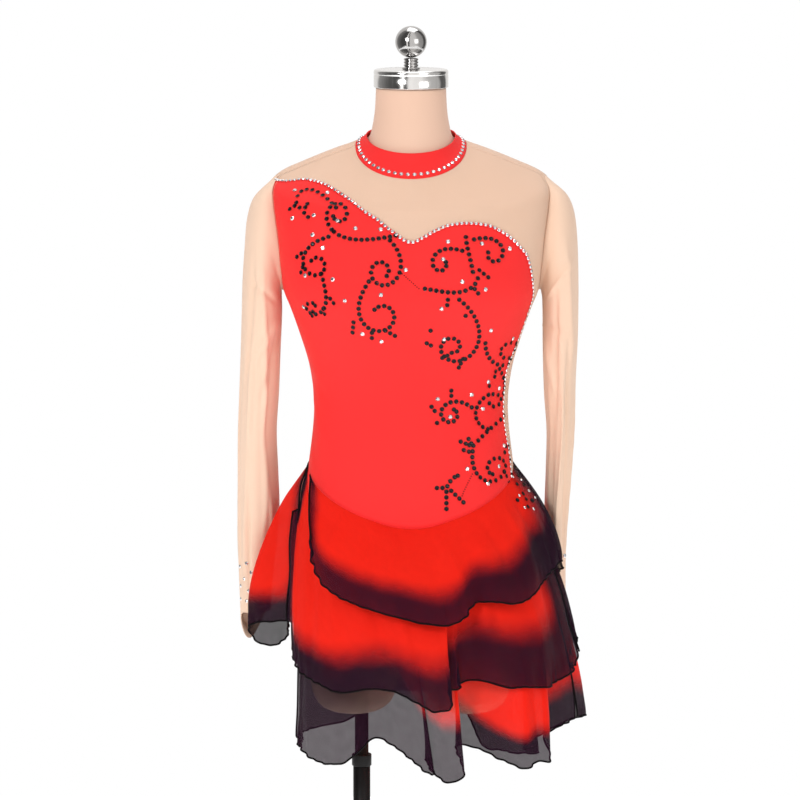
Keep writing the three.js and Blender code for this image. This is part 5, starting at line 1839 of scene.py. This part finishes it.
def sequins(red_grid, tier_grid):
    curl, sprig = curls(SCROLLS, SEQUIN["pitch"]), curls(SPRIGS, SPRIG["pitch"])
    radii = np.concatenate([np.full(len(curl), SEQUIN["radius"]), np.full(len(sprig), SPRIG["radius"])])
    both = np.concatenate([curl, sprig])
    points, normals = on_bodice(both[:, 0], both[:, 1], red_grid)
    scrolls = copies("bodice_cup_sequins", CUP_SHAPE, points, normals, radii, sequin, LEAN)
    points, normals = cast(tier_grid, TIER_SEQUINS)
    hip = copies("skirt_cup_sequins", CUP_SHAPE, points, normals, SEQUIN["radius"], sequin, LEAN)
    steps = np.linspace(0, 1, 11)[:, None]
    x, z = (mix(DOTS[f"{k}0"], DOTS[f"{k}1"], steps).ravel() for k in "xz")
    points, normals = on_bodice(x, z, red_grid)
    beads = copies("bodice_small_beads", BEAD_SHAPE, points, normals, BEAD_RADIUS, sequin)
    return [(piece, "stand_black") for piece in (scrolls, hip, beads)]


def skin_line(places, lift):
    """Points over places of the skin, and the way out there."""
    points = on_skin(places, lift)
    return points, on_skin(places, lift + 1) - points


def spaced(places, pitch, aside, lift):
    """Points a pitch apart along a run of places, moved aside and out, and the way the cloth faces."""
    points, normals = skin_line(beside(places, aside), lift)
    length = run_lengths(points)
    at = np.arange(pitch / 2, length[-1], pitch)
    return along_line(at, length, points), along_line(at, length, normals)


# The collar's stones: how far over its lower edge, how much of its dip they follow, how far out.
COLLAR_STONE = {"radius": 2.7, "rise": 2.6, "follows": 0.85, "lift": 0.75}
BODICE_STONE, TIER_STONE, CUFF_STONE = 3.0, 2.1, 2.7


def rhinestones(red_grid, tier_grid, left_sleeve, right_sleeve):
    points, _ = spaced(bodice_edges(), EDGE_STONE["pitch"], -EDGE_STONE["inside"], WALL_OUTER)
    points, normals = settled(points, red_grid)
    edge = copies("edge_rhinestones", STONE_SHAPE, points, normals, EDGE_STONE["radius"], stone)
    angles = 2 * PI * (np.arange(COLLAR_STONES) + 0.5) / COLLAR_STONES - PI
    dip = COLLAR_DIP * np.maximum(0, np.cos(angles)) ** 1.5
    places = np.stack([angles, COLLAR_LOW + COLLAR_STONE["rise"] - COLLAR_STONE["follows"] * dip], -1)
    points, normals = skin_line(places, WALL_OUTER + COLLAR_STONE["lift"])
    collar = copies("collar_rhinestones", STONE_SHAPE, points, normals, COLLAR_STONE["radius"], stone)
    points, normals = on_bodice(STONES["x"], STONES["z"], red_grid)
    scattered = copies("bodice_rhinestones", STONE_SHAPE, points, normals, BODICE_STONE, stone)
    points, normals = cast(tier_grid, TIER_STONES)
    hip = copies("skirt_rhinestones", STONE_SHAPE, points, normals, TIER_STONE, stone)
    pieces = [edge, collar, scattered, hip]
    for label, grid in (("left", left_sleeve), ("right", right_sleeve)):
        points, normals = cast(np.concatenate([grid, grid[:, :1]], 1), CUFF_STONES[label])
        name = f"cuff_{label}_rhinestones"
        pieces.append(copies(name, STONE_SHAPE, points, normals, CUFF_STONE, stone))
    return [(piece, "chrome_trim") for piece in pieces]


STITCH = {"length": 2.0, "pitch": 2.9, "radius": 0.22}


def stitch_row(points, normals, closed=False):
    """Short stitches along a line on the cloth: each is a flat box of thread."""
    line = np.concatenate([points, points[:1]]) if closed else points
    facing = np.concatenate([normals, normals[:1]]) if closed else normals
    length = run_lengths(line)
    starts = np.arange(0.4, length[-1] - STITCH["length"], STITCH["pitch"])
    first, second = along_line(starts, length, line), along_line(starts + STITCH["length"], length, line)
    out = unit(along_line(starts, length, facing))
    side = unit(np.cross(second - first, out)) * STITCH["radius"]
    up = out * STITCH["radius"]
    section = ((-1, -0.5), (1, -0.5), (1, 1.2), (-1, 1.2))
    corners = [end + k * side + n * up for end in (first, second) for k, n in section]
    box = [(0, 1, 2, 3), (7, 6, 5, 4), (0, 4, 5, 1), (1, 5, 6, 2), (2, 6, 7, 3), (3, 7, 4, 0)]
    return [(np.array(c), box) for c in np.stack(corners, 1)]


def stitches(left_sleeve, right_sleeve):
    share = np.linspace(0, 1, 120)
    rows = []
    for side in (-1, 1):
        for aside in (-2.2, 2.2):
            angles = np.full(120, side * degrees(90)) + side * aside / RINGS["front"].mean()
            low = seam_height(angles)
            seam = np.stack([angles, mix(low + 2, ARMHOLE_BOTTOM - 8, share)], -1)
            rows += stitch_row(*skin_line(seam, WALL_OUTER))
        turns = 2 * PI * np.arange(240) / 240
        rows += stitch_row(*skin_line(armhole(side, side * turns, 4.5), WALL_OUTER), closed=True)
    for grid in (left_sleeve, right_sleeve):
        facing = normals_of(grid, True)[CUFF_HEM_ROWS - 1]
        rows += stitch_row(grid[CUFF_HEM_ROWS - 1] + HEM_LIFT * facing, facing, True)
    nude = joined("nude_seam_stitches", rows, nude_thread)
    share = np.linspace(-1, 1, 400)[:, None]
    band = np.concatenate([share * degrees(179.5), np.full((400, 1), COLLAR_LOW + 0.8)], 1)
    rows = stitch_row(*skin_line(band, WALL_OUTER + 0.45))
    edges = bodice_edges()
    points, normals = skin_line(beside(edges, -4.6), WALL_OUTER)
    rows += stitch_row(points, normals)
    red = joined("red_seam_stitches", rows, red_thread)
    return [(nude, "nude_mesh"), (red, "red_stretch")]


def zip_ridge():
    """The closed coil of the invisible zip, which shows as one fine ridge down the middle of the back."""
    low, high = seam_height(PI) + 1, COLLAR_LOW - 0.6
    heights = np.linspace(float(low), high, 160)
    places = np.stack([np.full(160, PI), heights], -1)
    return tube("back_zip_ridge", on_skin(places, WALL_OUTER - 0.5), 0.75, nude_thread, 8)


# Making and naming everything

BODICE = bodice_front()
SLEEVE_LEFT, SLEEVE_RIGHT = sleeve(-1), sleeve(1)
made = {
    "bodice_front": BODICE[0],
    "yoke_front": yoke_front(),
    "back_left": back(-1),
    "back_right": back(1),
    "collar_band": collar_band(),
    "brief": brief(),
    "sleeve_left": SLEEVE_LEFT[0],
    "sleeve_right": SLEEVE_RIGHT[0],
    "dress_form": dress_form(),
    "neck_cap": neck_cap(),
    "finial_stem": finial_stem(),
    "finial_ball": finial_ball(),
    "upper_pole": upper_pole(),
    "lock_collar": lock_collar(),
    "lower_tube": lower_tube(),
    "base_plate": base_plate(),
}
tiers = skirt()
made.update({name: cloth for name, (cloth, _, _) in tiers.items()})

SLOTS = {
    "red_stretch": ("bodice_front", "collar_band", "brief"),
    "nude_mesh": ("yoke_front", "back_left", "back_right", "sleeve_left", "sleeve_right"),
    "chiffon": tuple(tiers),
    "form_cover": ("dress_form",),
    "chrome_trim": ("neck_cap", "finial_stem", "finial_ball"),
    "stand_black": ("upper_pole", "lock_collar", "lower_tube", "base_plate"),
}
STAND = ("lock_collar", "lower_tube", "base_plate")
for name, obj in made.items():
    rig.replaces(obj, name)
    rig.ride(obj, "stand" if name in STAND else "form")
for slot_name, names in SLOTS.items():
    for name in names:
        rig.slot(made[name], slot_name)
ZIP = zip_ridge()
sewn_on = [
    *((cord, "chiffon") for _, cord, _ in tiers.values()),
    (SLEEVE_LEFT[1], "nude_mesh"),
    (SLEEVE_RIGHT[1], "nude_mesh"),
    *sequins(BODICE[1], tiers["tier_1_front"][2]),
    *rhinestones(BODICE[1], tiers["tier_1_front"][2], SLEEVE_LEFT[2], SLEEVE_RIGHT[2]),
    *stitches(SLEEVE_LEFT[2], SLEEVE_RIGHT[2]),
    (ZIP, "nude_mesh"),
]
for piece, slot_name in sewn_on:
    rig.ride(piece, "form")
    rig.slot(piece, slot_name)

# What every cloth piece was cut to before it was sewn: width and length of the cloth and the cut's own
# area, in metres and square metres.
CUTS = [
    # name, width, length, area, how it is held
    ("bodice_front", 0.43, 0.45, 0.138, "stretched"),
    ("yoke_front", 0.34, 0.42, 0.046, "stretched"),
    ("back_left", 0.25, 0.45, 0.087, "stretched"),
    ("back_right", 0.25, 0.45, 0.087, "stretched"),
    ("collar_band", 0.36, 0.026, 0.0087, "stretched"),
    ("brief", 0.82, 0.26, 0.14, "stretched"),
    ("sleeve_left", 0.4, 0.65, 0.133, "hung"),
    ("sleeve_right", 0.4, 0.65, 0.13, "hung"),
    ("tier_3_back", 0.92, 0.35, 0.194, "hung"),
    ("tier_3_front", 0.76, 0.33, 0.137, "hung"),
    ("tier_2_back", 0.84, 0.27, 0.149, "hung"),
    ("tier_1_back", 0.88, 0.26, 0.127, "hung"),
    ("tier_2_front", 0.66, 0.26, 0.103, "hung"),
    ("tier_1_front", 0.54, 0.17, 0.056, "hung"),
]
SEWN_IN = {"sleeve_left": [SLEEVE_LEFT[1]], "sleeve_right": [SLEEVE_RIGHT[1]], "back_left": [ZIP]}
SEWN_IN.update({name: [cord] for name, (_, cord, _) in tiers.items()})
CARRIED = {"sleeve_left": ["yoke_front"], "sleeve_right": ["yoke_front"]}
CARRIED.update({name: ["brief"] for name in tiers})
for name, width, length, area, held in CUTS:
    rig.sheet(
        made[name],
        flat=(width, length),
        area=area,
        held=held,
        rests_on=CARRIED.get(name, ["dress_form"]),
        with_pieces=SEWN_IN.get(name, []),
    )

# Camera, light and backdrop

camera = bpy.data.objects.new("camera", bpy.data.cameras.new("camera"))
camera.data.sensor_width = 36
camera.data.lens = 208.35
camera.data.clip_end = 60
camera.location = (-0.0143, -6.0, 1.923)
camera.rotation_euler = (math.radians(82), 0, 0)
bpy.context.scene.collection.objects.link(camera)
bpy.context.scene.camera = camera
FLOOR_EDGE = 2400  # from the middle


def backdrop():
    material, tree, shader, place = new_material("white_paper")
    grain = noise(tree, place, 300.0)
    paint(tree, shader, grain, (0.94, 0.94, 0.94), (0.97, 0.97, 0.97))
    settings(shader, Roughness=0.9, Emission_Color=(1, 1, 1, 1), Emission_Strength=0.6)
    edge = FLOOR_EDGE
    points = [(-edge, -edge, 0), (edge, -edge, 0), (edge, edge, 0), (-edge, edge, 0)]
    return mesh_object("studio_floor", points, [(0, 1, 2, 3)], material)


def studio_light(name, place, target, size, power):
    light = bpy.data.lights.new(name, "AREA")
    light.shape = "RECTANGLE"
    light.size, light.size_y = size
    light.energy = power
    obj = bpy.data.objects.new(name, light)
    obj.location = place
    obj.rotation_euler = (Vector(target) - Vector(place)).to_track_quat("-Z", "Y").to_euler()
    bpy.context.scene.collection.objects.link(obj)


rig.stage(backdrop())
studio_light("key", (-1.9, -3.2, 2.9), (0, 0, 1.1), (1.1, 1.1), 58)
studio_light("fill", (2.4, -2.8, 1.9), (0, 0, 1.0), (1.8, 1.8), 20)
studio_light("top", (0.2, 0.6, 3.6), (0, 0, 1.0), (1.6, 1.6), 20)

# What shiny pieces mirror, as strips of the studio round the object: the share of a turn, and how bright.
STRIPS = table(
    ["turn", "bright"],
    [0, 0.9], [0.14, 0.8], [0.165, 0.3], [0.29, 0.1], [0.404, 0.06], [0.412, 1.7], [0.428, 1.7],
    [0.436, 0.02], [0.464, 0.03], [0.473, 1.0], [0.6, 0.95], [0.66, 0.55], [0.775, 0.45], [0.795, 0.1],
    [0.87, 0.12], [0.89, 0.8], [1, 0.9],
)
AMBIENT = 0.6


def studio_world():
    """White to look at, softer as a light, and strips of light and dark for shiny pieces."""
    world = bpy.data.worlds.new("studio")
    bpy.context.scene.world = world
    world.use_nodes = True
    tree = world.node_tree
    background = tree.nodes["Background"]
    way = add(tree, "ShaderNodeTexCoord").outputs["Generated"]
    split = add(tree, "ShaderNodeSeparateXYZ", {"Vector": way})
    ahead = maths(tree, "MULTIPLY", split.outputs["Y"], -1.0)
    angle = maths(tree, "ARCTAN2", split.outputs["X"], ahead)
    turn = between(tree, angle, -PI, PI, kind="LINEAR")
    ramp = add(tree, "ShaderNodeValToRGB", {"Fac": turn})
    stops = ramp.color_ramp.elements
    stops.remove(stops[1])
    for i, (place, bright) in enumerate(zip(STRIPS["turn"], STRIPS["bright"])):
        stop = stops[0] if i == 0 else stops.new(place)
        stop.position = place
        stop.color = (bright, 0.98 * bright, 0.96 * bright, 1)
    rays = add(tree, "ShaderNodeLightPath")
    lit = blend_colours(tree, rays.outputs["Is Camera Ray"], (AMBIENT, AMBIENT, AMBIENT), (1, 1, 1))
    mirrored = blend_colours(tree, rays.outputs["Is Glossy Ray"], lit, ramp.outputs["Color"])
    tree.links.new(mirrored, background.inputs["Color"])
    background.inputs["Strength"].default_value = 1.0


studio_world()

scene = bpy.context.scene
scene.view_settings.view_transform = "Standard"
scene.cycles.transparent_max_bounces = 32

VISUAL_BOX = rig.bounds()
with open("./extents.json", "w") as file:
    boxes = {"cad": CAD_BOX, "visual": VISUAL_BOX}
    json.dump({key: [list(map(float, corner)) for corner in box] for key, box in boxes.items()}, file)
